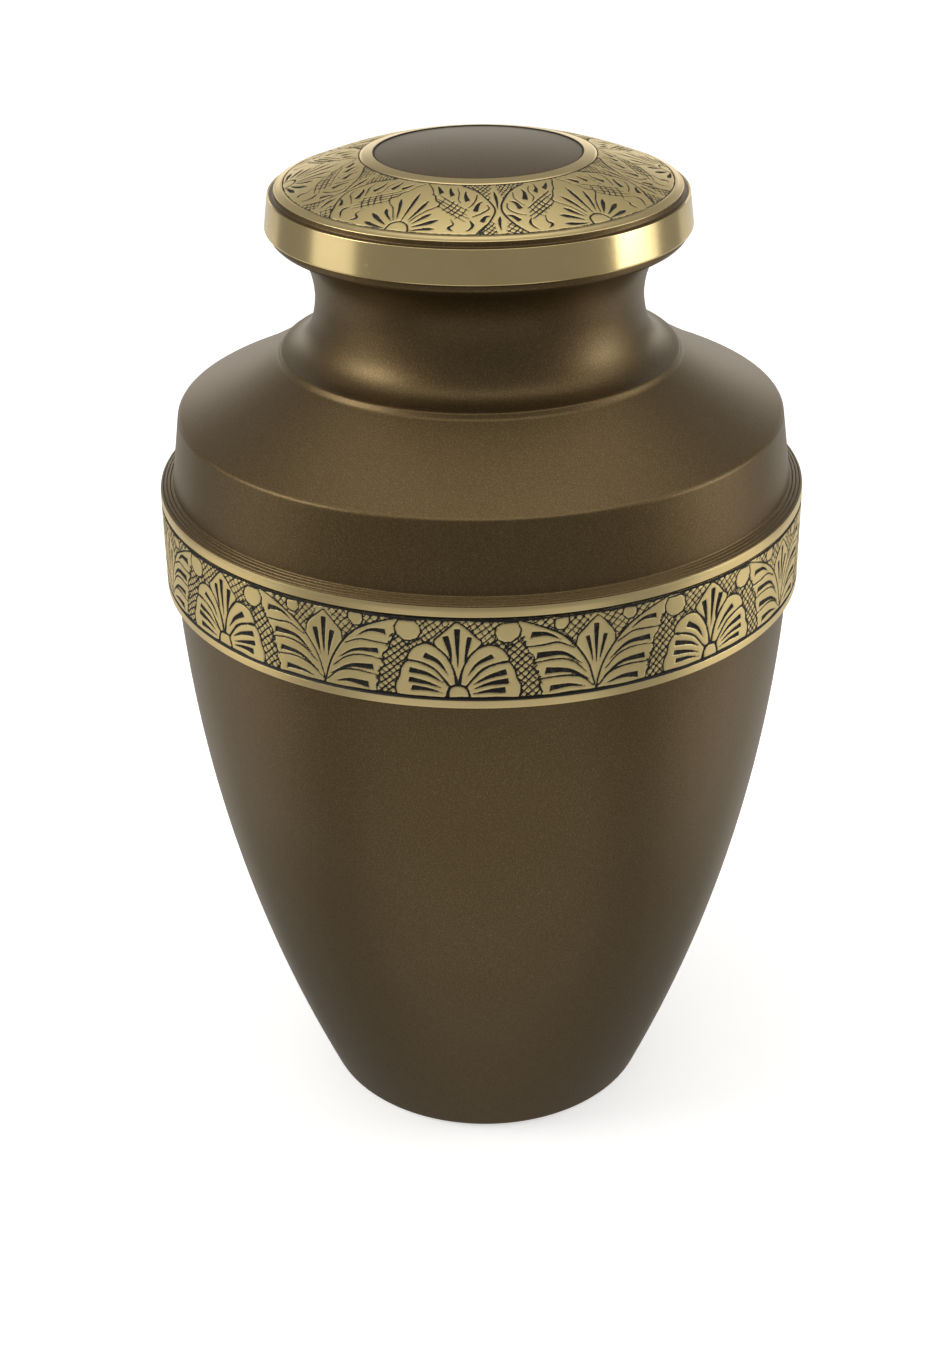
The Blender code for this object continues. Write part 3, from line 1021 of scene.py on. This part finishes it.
@dataclass(frozen=True)
class LeafPair:
    """The lid's pair of wings: from a slim stem two leaves spread under the inner line to the shells."""

    stems: tuple[tuple[float, Table], ...] = (
        (1.25, ((0.0, 9.2), (0.1, 12.6), (0.0, 16.6))), (1.10, ((0.0, 1.4), (-0.1, 3.8), (0.0, 6.4))),
    )
    edge: Table = (
        (5.8, 0.2), (3.4, 3.4), (1.6, 6.8), (1.0, 9.6), (2.0, 12.4), (4.5, 15.7), (7.6, 17.9), (11.6, 19.5),
    )
    drops: tuple[tuple[float, Table], ...] = (
        (1.2, ((2.1, 6.9), (3.5, 6.2), (4.9, 4.7))),
        (1.5, ((4.3, 12.7), (5.7, 11.2), (6.5, 8.8))),
        (1.6, ((9.7, 17.2), (10.1, 15.2), (9.0, 12.6))),
        (1.5, ((15.6, 18.6), (15.3, 16.8), (14.2, 15.0))),
        (1.4, ((20.9, 18.5), (19.6, 17.4), (17.9, 15.9))),
    )
    veins: tuple[Table, ...] = (
        ((2.9, 11.4), (2.8, 9.5), (4.9, 7.5), (7.2, 6.5)),
        ((6.0, 15.9), (5.8, 14.0), (7.0, 11.8), (8.4, 10.2)),
        ((13.2, 18.4), (11.9, 16.0), (12.1, 13.4), (11.2, 12.0)),
    )
    band: tuple[Table, ...] = (
        ((8.6, 8.9), (13.8, 12.2), (18.8, 15.0)),
        ((8.6, 7.4), (13.8, 10.8), (18.6, 13.5)),
        ((8.2, 5.9), (13.0, 9.0), (17.6, 11.9)),
        ((8.8, 4.8), (13.0, 7.5), (17.0, 10.2)),
    )
    crossings: tuple[Table, ...] = (
        ((9.0, 9.6), (10.2, 7.4), (11.8, 5.6)),
        ((10.4, 10.4), (11.6, 8.4), (13.0, 6.8)),
        ((11.8, 11.4), (13.0, 9.4), (14.4, 7.8)),
        ((13.2, 12.2), (14.2, 10.4), (15.6, 8.8)),
    )
    end: tuple[Table, ...] = (
        ((24.6, 19.2), (22.6, 17.6), (21.0, 15.2)),
        ((21.0, 15.2), (19.6, 14.4), (18.9, 12.6), (17.4, 11.6), (17.2, 10.0)),
    )
    flower: tuple[Table, ...] = (
        ((12.8, 5.8), (12.0, 3.8), (12.9, 2.4), (11.8, 1.0)),
        ((9.0, 0.8), (8.0, 1.8), (7.4, 3.4), (8.0, 5.4)),
    )
    gaps: tuple[Table, ...] = (
        ((1.2, 19.8), (10.4, 19.8), (7.2, 18.1), (4.4, 16.0), (2.6, 13.8)),
        ((1.4, -0.3), (5.8, -0.3), (3.8, 2.6), (2.4, 4.2)),
    )

    def draw(self, on: Drawing) -> None:
        """Cuts the wings round x = 0.

        Args:
            on: the patch of the plate.
        """
        for width, stem in self.stems:
            on.wedge(stem, width, spindle=True)
        for side in Side:
            on.line(side.of(self.edge), 0.50)
            for width, drop in self.drops:
                on.wedge(side.of(drop), width, shake=0.15)
            for vein in self.veins:
                on.line(side.of(vein), 0.36, shake=0.16)
            for line in self.band + self.crossings:
                on.line(side.of(line), 0.34, shake=0.14)
            for line in self.end:
                on.line(side.of(line), 0.38, shake=0.16)
            for line in self.flower:
                on.wedge(side.of(line), 0.85, shake=0.18, spindle=True)
            for gap in self.gaps:
                on.hatch(side.of(gap), pitch=1.15, width=0.26, turn=48.0)


@dataclass(frozen=True)
class Plate:
    """A ring of brass that is engraved: where its motifs stand, and the grid that they are cut into.

    radius is the one that the motifs are spaced on, in millimetres, and start the first one's angle in
    degrees. up is the height of each row over the motifs' base line, in millimetres along the ring's face.
    """

    radius: float
    start: float
    stations: int
    columns: int
    up: np.ndarray

    def grid(self) -> tuple[np.ndarray, np.ndarray]:
        """Each point's place round the plate, radius * (angle - start), and its height over the base line."""
        turn = (angles(self.columns) - math.radians(self.start)) % math.tau
        return tuple(np.meshgrid(self.radius * turn, self.up))

    def engrave(self, motifs: tuple[Motif, ...], seed: int, every: int = 1) -> np.ndarray:
        """Draws motifs in turn round the plate, which closes on itself.

        Args:
            motifs: each kind, one after the other.
            seed: what the unsteadiness of the hand starts from.
            every: how many stations it is from one motif to the next.

        Returns:
            Each point's distance to the nearest cut, in millimetres, negative inside it.
        """
        across, up = self.grid()
        period = self.radius * math.tau / self.stations
        whole = self.stations * period
        cut = np.full(across.shape, FAR)
        for station in range(0, self.stations, every):
            x = (across - station * period + whole / 2) % whole - whole / 2
            near = np.abs(x) < period
            on = Drawing(x[near], up[near], np.random.default_rng(seed + station))
            motifs[station // every % len(motifs)].draw(on)
            cut[near] = np.minimum(cut[near], on.cut)
        return cut


CUT_LIP = 0.05  # millimetres outside a cut's edge where the metal starts to fall away
CUT_SLOPE = 0.45  # millimetres from there to the full depth
EDGE_SINK = 0.3 * MM  # how far a plate's first and last rows lie in the turned lines beside it

Waves = tuple[tuple[float, float, float], ...]


def wander(level: float, way: np.ndarray, waves: Waves) -> np.ndarray:
    """A line that wavers: level plus the sum of size * sin(count * way + phase) over its waves.

    Args:
        level: the line's mean height.
        way: the place along it at each point.
        waves: size, count and phase of each wave.

    Returns:
        The line's height at each point.
    """
    for size, count, phase in waves:
        level = level + size * np.sin(way * count + phase)
    return level


def sink(
    name: str, line: np.ndarray, out: np.ndarray, cut: np.ndarray, deepest: float, back: float,
) -> bpy.types.Object:
    """Makes an engraved ring: row i is the profile point P less its outward direction n times the cut's
    depth, P - n * deepest * clip((lip - cut) / slope, 0, 1), and two rows at P - n * back close it behind.

    Args:
        name: the piece's name.
        line: the ring's face as (radius, height) rows.
        out: the outward direction at each row.
        cut: the distance field at each row and column, in millimetres.
        deepest: the depth of a broad cut.
        back: the ring's thickness.

    Returns:
        The piece, with the distance field as its attribute "cut_mm".
    """
    columns = cut.shape[1]
    depth = deepest * np.clip((CUT_LIP - cut) / CUT_SLOPE, 0, 1)
    depth[[0, -1]] = np.maximum(depth[[0, -1]], EDGE_SINK)
    face = line[:, None] - out[:, None] * depth[..., None]
    behind = np.repeat((line - out * back)[[-1, 0]][:, None], columns, axis=1)
    both = np.concatenate([face, behind])
    piece = weave(name, turned(both[..., 0], both[..., 1], columns), columns, None)
    kept = np.concatenate([cut.reshape(-1), np.full(2 * columns, FAR)]).astype(np.float32)
    piece.data.attributes.new("cut_mm", "FLOAT", "POINT").data.foreach_set("value", kept)
    return piece


# The urn's own pieces: an outline's corners are radius, height and how far from it the rounding starts

ON = 0.05 * MM  # how near to a line a stretch still counts as on it


@dataclass
class UrnBody:
    """The lacquered vessel: foot, flank, the belt's plain rims, ledge, drum, shoulder, bead, neck and flange.

    A plain name is a radius, and low, high and top are heights. A pull says where a curve's control point
    lies, as shares of the way across and up.
    """

    foot: float = 46.1 * MM
    foot_edge: float = 1.2 * MM
    belly: float = 81.7 * MM
    fullness: float = 0.917
    belt: float = 84.0 * MM
    belt_low: float = 156.3 * MM
    belt_high: float = 183.0 * MM
    belt_bevel: float = 0.18 * MM
    bevel_height: float = 1.1 * MM
    lacquer_lap: float = 0.42 * MM
    line_low: float = 158.85 * MM
    line_high: float = 179.75 * MM
    line_half: float = 0.50 * MM
    line_depth: float = 0.5 * MM
    seat: float = 1.2 * MM
    ledge_lines: tuple[float, ...] = (0.22, 0.50, 0.78)
    ledge_groove: tuple[tuple[float, float, float], ...] = (
        (0.16 * MM, -0.02 * MM, 0.04 * MM), (0.0, -0.18 * MM, 0.05 * MM), (-0.16 * MM, 0.04 * MM, 0.04 * MM),
    )
    drum: float = 80.6 * MM
    drum_low: float = 184.0 * MM
    crest: float = 78.1 * MM
    crest_high: float = 202.0 * MM
    shoulder_sag: float = 1.2 * MM
    bead: float = 51.8 * MM
    bead_low: float = 216.2 * MM
    bead_high: float = 217.7 * MM
    bead_slant: Point = (0.75 * MM, 0.2 * MM)
    bead_width: float = 1.3 * MM
    waist: float = 41.6 * MM
    waist_high: float = 231.5 * MM
    cove_pull: Point = (0.93, 0.07)
    flare_pull: Point = (0.035, 0.14)
    flange: float = 52.2 * MM
    flange_low: float = 246.6 * MM
    flange_bevel: float = 0.9 * MM
    top: float = 248.9 * MM
    mouth: float = 39.6 * MM
    wall: float = 1.4 * MM
    under_bead: float = 2.2 * MM
    under_crest: float = 2.4 * MM
    floor: float = 2.4 * MM
    floor_corner: Point = (1.6 * MM, 3.0 * MM)
    columns: int = 256

    def _flank(self, top: float, steps: int) -> np.ndarray:
        """The flank's curve from the foot up to this height."""
        control = (self.foot + (self.belly - self.foot) * self.fullness, (self.foot_edge + self.belt_low) / 2)
        return bend((self.foot, self.foot_edge), control, (self.belly, top), steps)

    def _add_foot(self, made: Outline) -> None:
        """Adds the underside, the foot's rounded edge and the flank.

        Args:
            made: the outline so far.
        """
        flank = self._flank(self.belt_low - 0.1 * MM, 56)
        made.corner(0, 0).corner(self.foot - self.foot_edge, 0, 0.7 * MM)
        made.curve(flank[:1], 0.7 * MM).curve(flank[1:-1]).corner(self.belly, self.belt_low, 0.15 * MM)

    def _add_belt(self, made: Outline) -> None:
        """Adds the belt's two plain rims, the turned lines inside them and the seat of the engraved ring.

        Args:
            made: the outline so far.
        """
        made.corner(self.belt, self.belt_low, 0.25 * MM)
        made.corner(self.belt, self.line_low - self.line_half, 0.08 * MM)
        made.corner(self.belt - self.line_depth, self.line_low, 0.05 * MM)
        made.corner(self.belt - self.seat, self.line_low + ON)
        made.corner(self.belt - self.seat, self.line_high - ON)
        made.corner(self.belt - self.line_depth, self.line_high, 0.05 * MM)
        made.corner(self.belt, self.line_high + self.line_half, 0.08 * MM)
        made.corner(self.belt, self.belt_high - self.bevel_height, 0.45 * MM)
        made.corner(self.belt - self.belt_bevel, self.belt_high, 0.25 * MM)

    def _add_ledge(self, made: Outline) -> None:
        """Adds the ledge over the belt, with its turned lines, and the drum's foot.

        Args:
            made: the outline so far.
        """
        outer, inner = np.array([[self.belt - self.belt_bevel, self.belt_high], [self.drum, self.drum_low]])
        for share in self.ledge_lines:
            radius, height = outer + (inner - outer) * share
            for across, up, reach in self.ledge_groove:
                made.corner(radius + across, height + up, reach)
        made.corner(self.drum, self.drum_low, 0.35 * MM)

    def _add_shoulder(self, made: Outline) -> None:
        """Adds the crest, the hollow shoulder and the bead with its slanted edge.

        Args:
            made: the outline so far.
        """
        control = ((self.crest + self.bead) / 2, (self.crest_high + self.bead_low) / 2 - self.shoulder_sag)
        shoulder = bend((self.crest, self.crest_high), control, (self.bead, self.bead_low), 24)
        made.corner(self.crest, self.crest_high, 0.7 * MM)
        made.curve(shoulder[2:-1]).corner(self.bead, self.bead_low, 0.5 * MM)
        made.corner(self.bead - self.bead_slant[0], self.bead_high - self.bead_slant[1], 0.5 * MM)

    def _add_neck(self, made: Outline) -> None:
        """Adds the cove up to the waist, the flare over it and the flange.

        Args:
            made: the outline so far.
        """
        root, brim = self.bead - self.bead_width, self.flange - self.flange_bevel
        across, up = self.cove_pull
        control = (
            root + (self.waist - root) * across,
            self.bead_high + (self.waist_high - self.bead_high) * up,
        )
        cove = bend((root, self.bead_high), control, (self.waist, self.waist_high), 28)
        across, down = self.flare_pull
        control = (
            self.waist + (brim - self.waist) * across,
            self.flange_low - (self.flange_low - self.waist_high) * down,
        )
        flare = bend((self.waist, self.waist_high), control, (brim, self.flange_low), 20)
        made.corner(root, self.bead_high, 0.3 * MM).curve(cove[2:]).curve(flare[1:-1])
        made.corner(brim, self.flange_low, 0.5 * MM)
        made.corner(self.flange, self.flange_low + self.flange_bevel, 0.4 * MM)
        made.corner(self.flange, self.top, 0.2 * MM)

    def _add_inside(self, made: Outline) -> None:
        """Adds the mouth's edge and the inside of the neck, the shoulder and the flank down to the floor.

        Args:
            made: the outline so far.
        """
        flank = self._flank(self.belt_low, 24) - np.array([self.wall, 0])
        flank = flank[flank[:, 1] > self.floor + self.floor_corner[1]][::-1]
        made.corner(self.mouth, self.top, 0.4 * MM).corner(self.mouth, self.bead_high, 3.0 * MM)
        made.corner(self.bead, self.bead_low - self.under_bead, 2.0 * MM)
        made.corner(self.crest - self.wall, self.crest_high - self.under_crest, 2.0 * MM)
        made.corner(self.drum - self.wall, self.drum_low, 0.5 * MM).curve(flank)
        made.corner(flank[-1, 0] - self.floor_corner[0], self.floor, 1.0 * MM).corner(0, self.floor)

    def profile(self) -> np.ndarray:
        """The whole profile, from the middle of the underside over the flange and down inside to the floor's.

        Returns:
            Its (radius, height) rows.
        """
        made = Outline()
        self._add_foot(made)
        self._add_belt(made)
        self._add_ledge(made)
        self._add_shoulder(made)
        self._add_neck(made)
        self._add_inside(made)
        return made.line()

    def build(self, finishes: Finishes) -> bpy.types.Object:
        """Makes and dresses the vessel.

        Args:
            finishes: the material of each slot.

        Returns:
            The piece.
        """
        line = self.profile()
        piece = revolve("urn_body_turned", line, self.columns)
        r, z = middles(line)
        belt = (r > self.belly + ON) & (z < self.belt_high - self.lacquer_lap) & (z > self.belt_low - ON)
        lines = (z > self.line_low - self.line_half) & (z < self.line_high + self.line_half)
        sunk = belt & lines & (r < self.belt - 0.04 * MM)
        paint(piece, finishes, Slot.LACQUER, (belt, Slot.SATIN), (sunk, Slot.PATINA))
        return piece


@dataclass
class EngravedBelt:
    """The belt's engraved field: a ring that lies flush between the two turned lines.

    Lengths that end in _mm are in millimetres. The field's black edges waver by the waves: size, count round
    the belt and phase.
    """

    radius: float = 84.0 * MM
    low: float = 159.02 * MM
    high: float = 179.55 * MM
    back: float = 1.0 * MM
    deepest: float = 0.34 * MM
    base_mm: float = 0.35
    low_edge_mm: float = 0.34
    high_edge_mm: float = 0.42
    low_waves: Waves = ((0.09, 23, 0.0), (0.06, 61, 1.0))
    high_waves: Waves = ((0.12, 19, 2.0), (0.08, 53, 0.0))
    start: float = -4.0
    stations: int = 16
    seed: int = 11
    lattice_seed: int = 77
    rows: int = 60
    columns: int = 1536

    def build(self, finishes: Finishes) -> bpy.types.Object:
        """Makes and dresses the belt: a ring of constant radius, less the cuts' depth.

        Args:
            finishes: the material of each slot.

        Returns:
            The piece.
        """
        z = np.linspace(self.low, self.high, self.rows)
        up = (z - self.low) / MM - self.base_mm
        plate = Plate(self.radius / MM, self.start, self.stations, self.columns, up)
        cut = plate.engrave((Palmette(), Palm()), self.seed)
        cut = np.minimum(cut, plate.engrave((Lattice(),), self.lattice_seed, every=2))
        cut = np.minimum(cut, self._borders(plate))
        line = np.stack([np.full(self.rows, self.radius), z], axis=-1)
        out = np.tile([1.0, 0.0], (self.rows, 1))
        piece = sink("urn_belt_engraved", line, out, cut, self.deepest, self.back)
        paint(piece, finishes, Slot.ENGRAVED)
        return piece

    def _borders(self, plate: Plate) -> np.ndarray:
        """The black edges under and over the field.

        Args:
            plate: the belt's plate.

        Returns:
            The distance to the nearer of two lines that wander in height.
        """
        across, up = plate.grid()
        turn = across / plate.radius
        low = wander(-self.base_mm + self.low_edge_mm, turn, self.low_waves)
        high = wander((self.high - self.low) / MM - self.base_mm - self.high_edge_mm, turn, self.high_waves)
        return np.minimum(up - low, high - up)


@dataclass
class Lid:
    """The domed lid: a polished rim, a painted groove, the engraved face, a plain ring, a lacquered disc, and
    the plug collar under it.

    A plain name is a radius, and low and high are heights. The engraved ring lies in a channel between
    field_outer and field_inner.
    """

    rim: float = 53.5 * MM
    rim_low: float = 249.2 * MM
    rim_high: float = 257.6 * MM
    rim_taper: float = 1.1 * MM
    groove: float = 52.0 * MM
    face: float = 50.7 * MM
    face_low: float = 259.0 * MM
    face_high: float = 266.8 * MM
    face_lip: float = 0.4 * MM
    face_pull: Point = (0.57, 0.75)
    field_outer: float = 48.5 * MM
    field_inner: float = 29.2 * MM
    seat: float = 1.2 * MM
    disc: float = 26.1 * MM
    disc_edge: float = 0.62 * MM
    disc_sink: float = 0.32 * MM
    dome: float = 1.3 * MM
    collar: float = 39.0 * MM
    collar_wall: float = 2.5 * MM
    collar_depth: float = 11.0 * MM
    under: float = 2.7 * MM
    under_slope: float = 0.32
    columns: int = 320

    def face_curve(self, steps: int) -> np.ndarray:
        """The engraved face from its outer edge in to the disc.

        Args:
            steps: how many stretches it has.

        Returns:
            Its (radius, height) rows.
        """
        start, end = (self.face - self.face_lip, self.face_low), (self.disc, self.face_high)
        across, up = self.face_pull
        control = (start[0] + (end[0] - start[0]) * across, start[1] + (end[1] - start[1]) * up)
        return bend(start, control, end, steps)

    def face_height(self, radius: np.ndarray) -> np.ndarray:
        """The face's height at each radius."""
        whole = self.face_curve(400)[::-1]
        return np.interp(radius, whole[:, 0], whole[:, 1])

    def on_face(self, radius: np.ndarray, sunk: float = 0.0) -> np.ndarray:
        """The (radius, height) rows at these radii, on the face or sunk under it."""
        return np.stack([radius, self.face_height(radius) - sunk], axis=-1)

    def _add_underside(self, made: Outline) -> None:
        """Adds the hollow's ceiling, the plug collar and the rim's underside.

        Args:
            made: the outline so far.
        """
        inner, ceiling = self.collar - self.collar_wall, self.face_high - self.under
        made.corner(0, ceiling).corner(self.disc, ceiling, 2.0 * MM)
        made.corner(inner, ceiling - (inner - self.disc) * self.under_slope, 1.0 * MM)
        made.corner(inner, self.rim_low - self.collar_depth, 0.5 * MM)
        made.corner(self.collar, self.rim_low - self.collar_depth, 0.5 * MM)
        made.corner(self.collar, self.rim_low, 0.4 * MM).corner(self.rim, self.rim_low, 0.45 * MM)

    def _add_crown(self, made: Outline) -> None:
        """Adds the rim, the groove, the face with its channel, the plain ring, and the sunk disc, which rises
        by dome * (1 - (r / disc)^2).

        Args:
            made: the outline so far.
        """
        made.corner(self.rim - self.rim_taper, self.rim_high, 0.45 * MM)
        made.corner(self.groove, self.rim_high - 0.1 * MM, 0.2 * MM)
        made.corner(self.face + 0.1 * MM, self.rim_high, 0.3 * MM)
        made.corner(self.face, self.face_low - ON, 0.22 * MM)
        made.curve(self.on_face(np.linspace(self.face - 0.6 * MM, self.field_outer, 4)))
        channel = np.array([self.field_outer - 0.1 * MM, self.field_inner + 0.1 * MM])
        made.curve(self.on_face(channel, self.seat))
        made.curve(self.on_face(np.linspace(self.field_inner, self.disc + 0.3 * MM, 5)))
        made.corner(self.disc, self.face_high, 0.12 * MM)
        made.corner(self.disc - 0.30 * MM, self.face_high - 0.35 * MM, 0.12 * MM)
        radius = np.linspace(self.disc - self.disc_edge, 0, 22)
        rise = self.face_high - self.disc_sink + self.dome * (1 - (radius / self.disc) ** 2)
        made.curve(np.stack([radius, rise], axis=-1))

    def build(self, finishes: Finishes) -> bpy.types.Object:
        """Makes and dresses the lid without its engraved ring.

        Args:
            finishes: the material of each slot.

        Returns:
            The piece.
        """
        made = Outline()
        self._add_underside(made)
        self._add_crown(made)
        line = made.line()
        piece = revolve("lid_turned", line, self.columns)
        r, z = middles(line)
        rim = (r > self.groove - ON) & (z > self.rim_low + ON)
        face = (r > self.disc - ON) & (r <= self.face + 0.02 * MM) & (z > self.face_low - 0.15 * MM)
        channel = (r < self.field_outer) & (r > self.field_inner) & (z > self.rim_high - 1.5 * MM)
        channel &= z < self.face_height(r) - 0.2 * MM
        # the disc's sunk edge, its wall and floor, is painted matt black: painted shade round the disc
        recess = (r < self.disc - ON) & (r > self.disc - self.disc_edge) & (z > self.face_high - 0.5 * MM)
        paint(
            piece, finishes, Slot.LACQUER, (rim, Slot.POLISHED), (face, Slot.SATIN), (channel, Slot.PATINA),
            (recess, Slot.PATINA), (z < self.rim_low - ON, Slot.SATIN),
        )
        return piece


@dataclass
class EngravedFace:
    """The lid's engraved ring, which follows the domed face between two turned lines.

    Lengths that end in _mm are in millimetres. The drawn lines at its edges waver by the waves: size, count
    in a millimetre and phase.
    """

    lid: Lid
    clearance: float = 0.03 * MM
    back: float = 0.9 * MM
    deepest: float = 0.28 * MM
    base_mm: float = 0.3
    line_in_mm: float = 0.12
    line_half_mm: float = 0.17
    line_waves: Waves = ((0.04, 0.9, 0.0), (0.03, 2.3, 1.0))
    start: float = -23.5
    stations: int = 12
    seed: int = 40
    rows: int = 64
    columns: int = 1280

    def build(self, finishes: Finishes) -> bpy.types.Object:
        """Makes and dresses the ring: each point is sunk along the face's own normal by the cut's depth.

        Args:
            finishes: the material of each slot.

        Returns:
            The piece.
        """
        outer, inner = self.lid.field_outer - self.clearance, self.lid.field_inner + self.clearance
        line = self.lid.on_face(np.linspace(outer, inner, self.rows))
        along = np.gradient(line, axis=0)
        along /= np.linalg.norm(along, axis=1)[:, None]
        out = np.stack([along[:, 1], -along[:, 0]], axis=-1)
        way = np.concatenate([[0], np.cumsum(np.linalg.norm(np.diff(line, axis=0), axis=1))]) / MM
        radius = self.lid.field_outer / MM
        plate = Plate(radius, self.start, self.stations, self.columns, way - self.base_mm)
        cut = plate.engrave((Shell(), LeafPair()), self.seed)
        wave = wander(0.0, plate.grid()[0], self.line_waves)
        for edge in (self.line_in_mm, way[-1] - self.line_in_mm):
            cut = np.minimum(cut, np.abs(way[:, None] - edge + wave) - self.line_half_mm)
        piece = sink("lid_face_engraved", line, out, cut, self.deepest, self.back)
        paint(piece, finishes, Slot.ENGRAVED)
        return piece


# The studio

WHITE = (1.0, 0.985, 0.95)
WARM = (1.0, 0.95, 0.85)


@dataclass(frozen=True)
class SoftBox:
    """A rectangular lamp that faces a point on the urn's axis.

    azimuth is measured from the front, positive towards +X, and elevation from the floor; glow is how bright
    its panel looks, so that a panel of 1 is mirrored as white.
    """

    name: str
    azimuth: float
    elevation: float
    distance: float
    width: float
    height: float
    glow: float
    tint: tuple[float, float, float] = WHITE
    aim: float = 0.17

    def build(self) -> None:
        """Hangs the lamp."""
        data = bpy.data.lights.new(self.name, "AREA")
        data.shape, data.size, data.size_y = "RECTANGLE", self.width, self.height
        data.energy, data.color = self.glow * math.pi * self.width * self.height, self.tint
        lamp = bpy.data.objects.new(self.name, data)
        bpy.context.scene.collection.objects.link(lamp)
        turn, lift = math.radians(self.azimuth), math.radians(self.elevation)
        lamp.matrix_world = (
            Matrix.Translation((0, 0, self.aim)) @ Matrix.Rotation(turn, 4, "Z")
            @ Matrix.Rotation(math.pi / 2 - lift, 4, "X") @ Matrix.Translation((0, 0, self.distance))
        )
        lamp.visible_camera = False


@dataclass(frozen=True)
class Viewpoint:
    """The photograph's camera: in front of the urn and above it. Angles are in degrees."""

    distance: float = 0.5338
    height: float = 0.4029
    pitch: float = 27.904
    yaw: float = 0.24
    roll: float = -0.64
    lens: float = 57.89
    sensor: float = 36.0

    def build(self) -> None:
        """Places the camera and makes it the scene's."""
        data = bpy.data.cameras.new("camera")
        data.lens, data.sensor_width = self.lens, self.sensor
        camera = bpy.data.objects.new("camera", data)
        bpy.context.scene.collection.objects.link(camera)
        yaw, tilt, roll = (math.radians(angle) for angle in (self.yaw, 90 - self.pitch, self.roll))
        camera.matrix_world = (
            Matrix.Translation((0, -self.distance, self.height)) @ Matrix.Rotation(yaw, 4, "Z")
            @ Matrix.Rotation(tilt, 4, "X") @ Matrix.Rotation(roll, 4, "Z")
        )
        bpy.context.scene.camera = camera


@dataclass
class Studio:
    """The pale sweep, the lamps, the room's own light and the camera.

    The sweep is a floor that rises over the outer share of its radius, rise, into a dome crown radii high.
    """

    radius: float = 6.0
    rise: float = 0.4
    crown: float = 0.8
    floor: float = -0.2 * MM
    room: float = 0.26
    lamps: tuple[SoftBox, ...] = (
        SoftBox("left_box", -81, 20, 1.15, 0.64, 1.40, 0.76),
        SoftBox("right_box", 90, 20, 1.15, 0.68, 1.40, 1.10),
        SoftBox("left_kicker", -76, 29, 1.20, 0.58, 0.52, 4.6),
        SoftBox("right_kicker", 86, 9, 1.20, 0.48, 0.46, 3.0),
        SoftBox("back_wall", 180, 6, 2.20, 3.60, 0.80, 1.25, WARM),
        SoftBox("back_bounce", 180, -30, 1.40, 3.20, 1.00, 0.45, WARM),
        SoftBox("left_bounce", -94, -30, 1.20, 0.80, 0.60, 0.60, WARM),
        SoftBox("right_bounce", 96, -30, 1.20, 0.80, 0.60, 0.68, WARM),
        SoftBox("top_box", 0, 88, 1.40, 1.80, 1.60, 1.05),
        SoftBox("floor_bounce", 0, -48, 1.00, 1.50, 0.90, 0.40),
    )

    def _sweep(self) -> np.ndarray:
        """The sweep's profile from the dome's top down to the middle of the floor, so that it faces inwards.

        Returns:
            Its (radius, height) rows.
        """
        turn = np.linspace(0, math.pi / 2, 24)[:, None]
        level = 1 - self.rise
        flat = np.array([[self.radius * share, self.floor] for share in (0, level / 2, level)])
        wall = [level + self.rise * np.sin(turn), self.rise - self.rise * np.cos(turn)]
        dome = [np.cos(turn), self.rise + self.crown * np.sin(turn)]
        wall, dome = (self.radius * np.concatenate(curve, axis=1)[1:] for curve in (wall, dome))
        dome[-1, 0] = 0
        return np.concatenate([flat, wall, dome])[::-1]

    def build(self) -> None:
        """Sets the studio up."""
        sweep = revolve("studio_sweep", self._sweep(), 96)
        sweep.data.materials.append(PaleFloor().build())
        sweep.visible_diffuse = sweep.visible_glossy = sweep.visible_shadow = False
        for lamp in self.lamps:
            lamp.build()
        world = bpy.data.worlds.new("room")
        world.use_nodes = True
        world.node_tree.nodes["Background"].inputs["Color"].default_value = (self.room,) * 3 + (1.0,)
        bpy.context.scene.world = world
        Viewpoint().build()
        bpy.context.scene.view_settings.view_transform = "Standard"


def main() -> None:
    """Loads the frame, builds every piece over it and sets up the studio."""
    logging.basicConfig(level=logging.INFO, format="%(name)s: %(message)s")
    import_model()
    finishes: Finishes = {
        Slot.LACQUER: BronzeLacquer().build(), Slot.POLISHED: PolishedBrass().build(),
        Slot.SATIN: PolishedBrass("satin_brass", roughness=0.27).build(),
        Slot.ENGRAVED: EngravedBrass().build(), Slot.PATINA: BlackPatinaAndShade().build(),
    }
    lid = Lid()
    plan: tuple[tuple[Callable[[Finishes], bpy.types.Object], str, str], ...] = (
        (UrnBody().build, "urn_body", "bronze_lacquer"),
        (EngravedBelt().build, "urn_body", "polished_brass"),
        (lid.build, "lid", "polished_brass"),
        (EngravedFace(lid).build, "lid", "polished_brass"),
    )
    for build, node, slot in plan:
        piece = build(finishes)
        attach(piece, "root")
        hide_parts(node)
        LOG.info("%s stands for %s: %d faces", piece.name, node, len(piece.data.polygons))
    Studio().build()


if __name__ == "__main__":
    main()
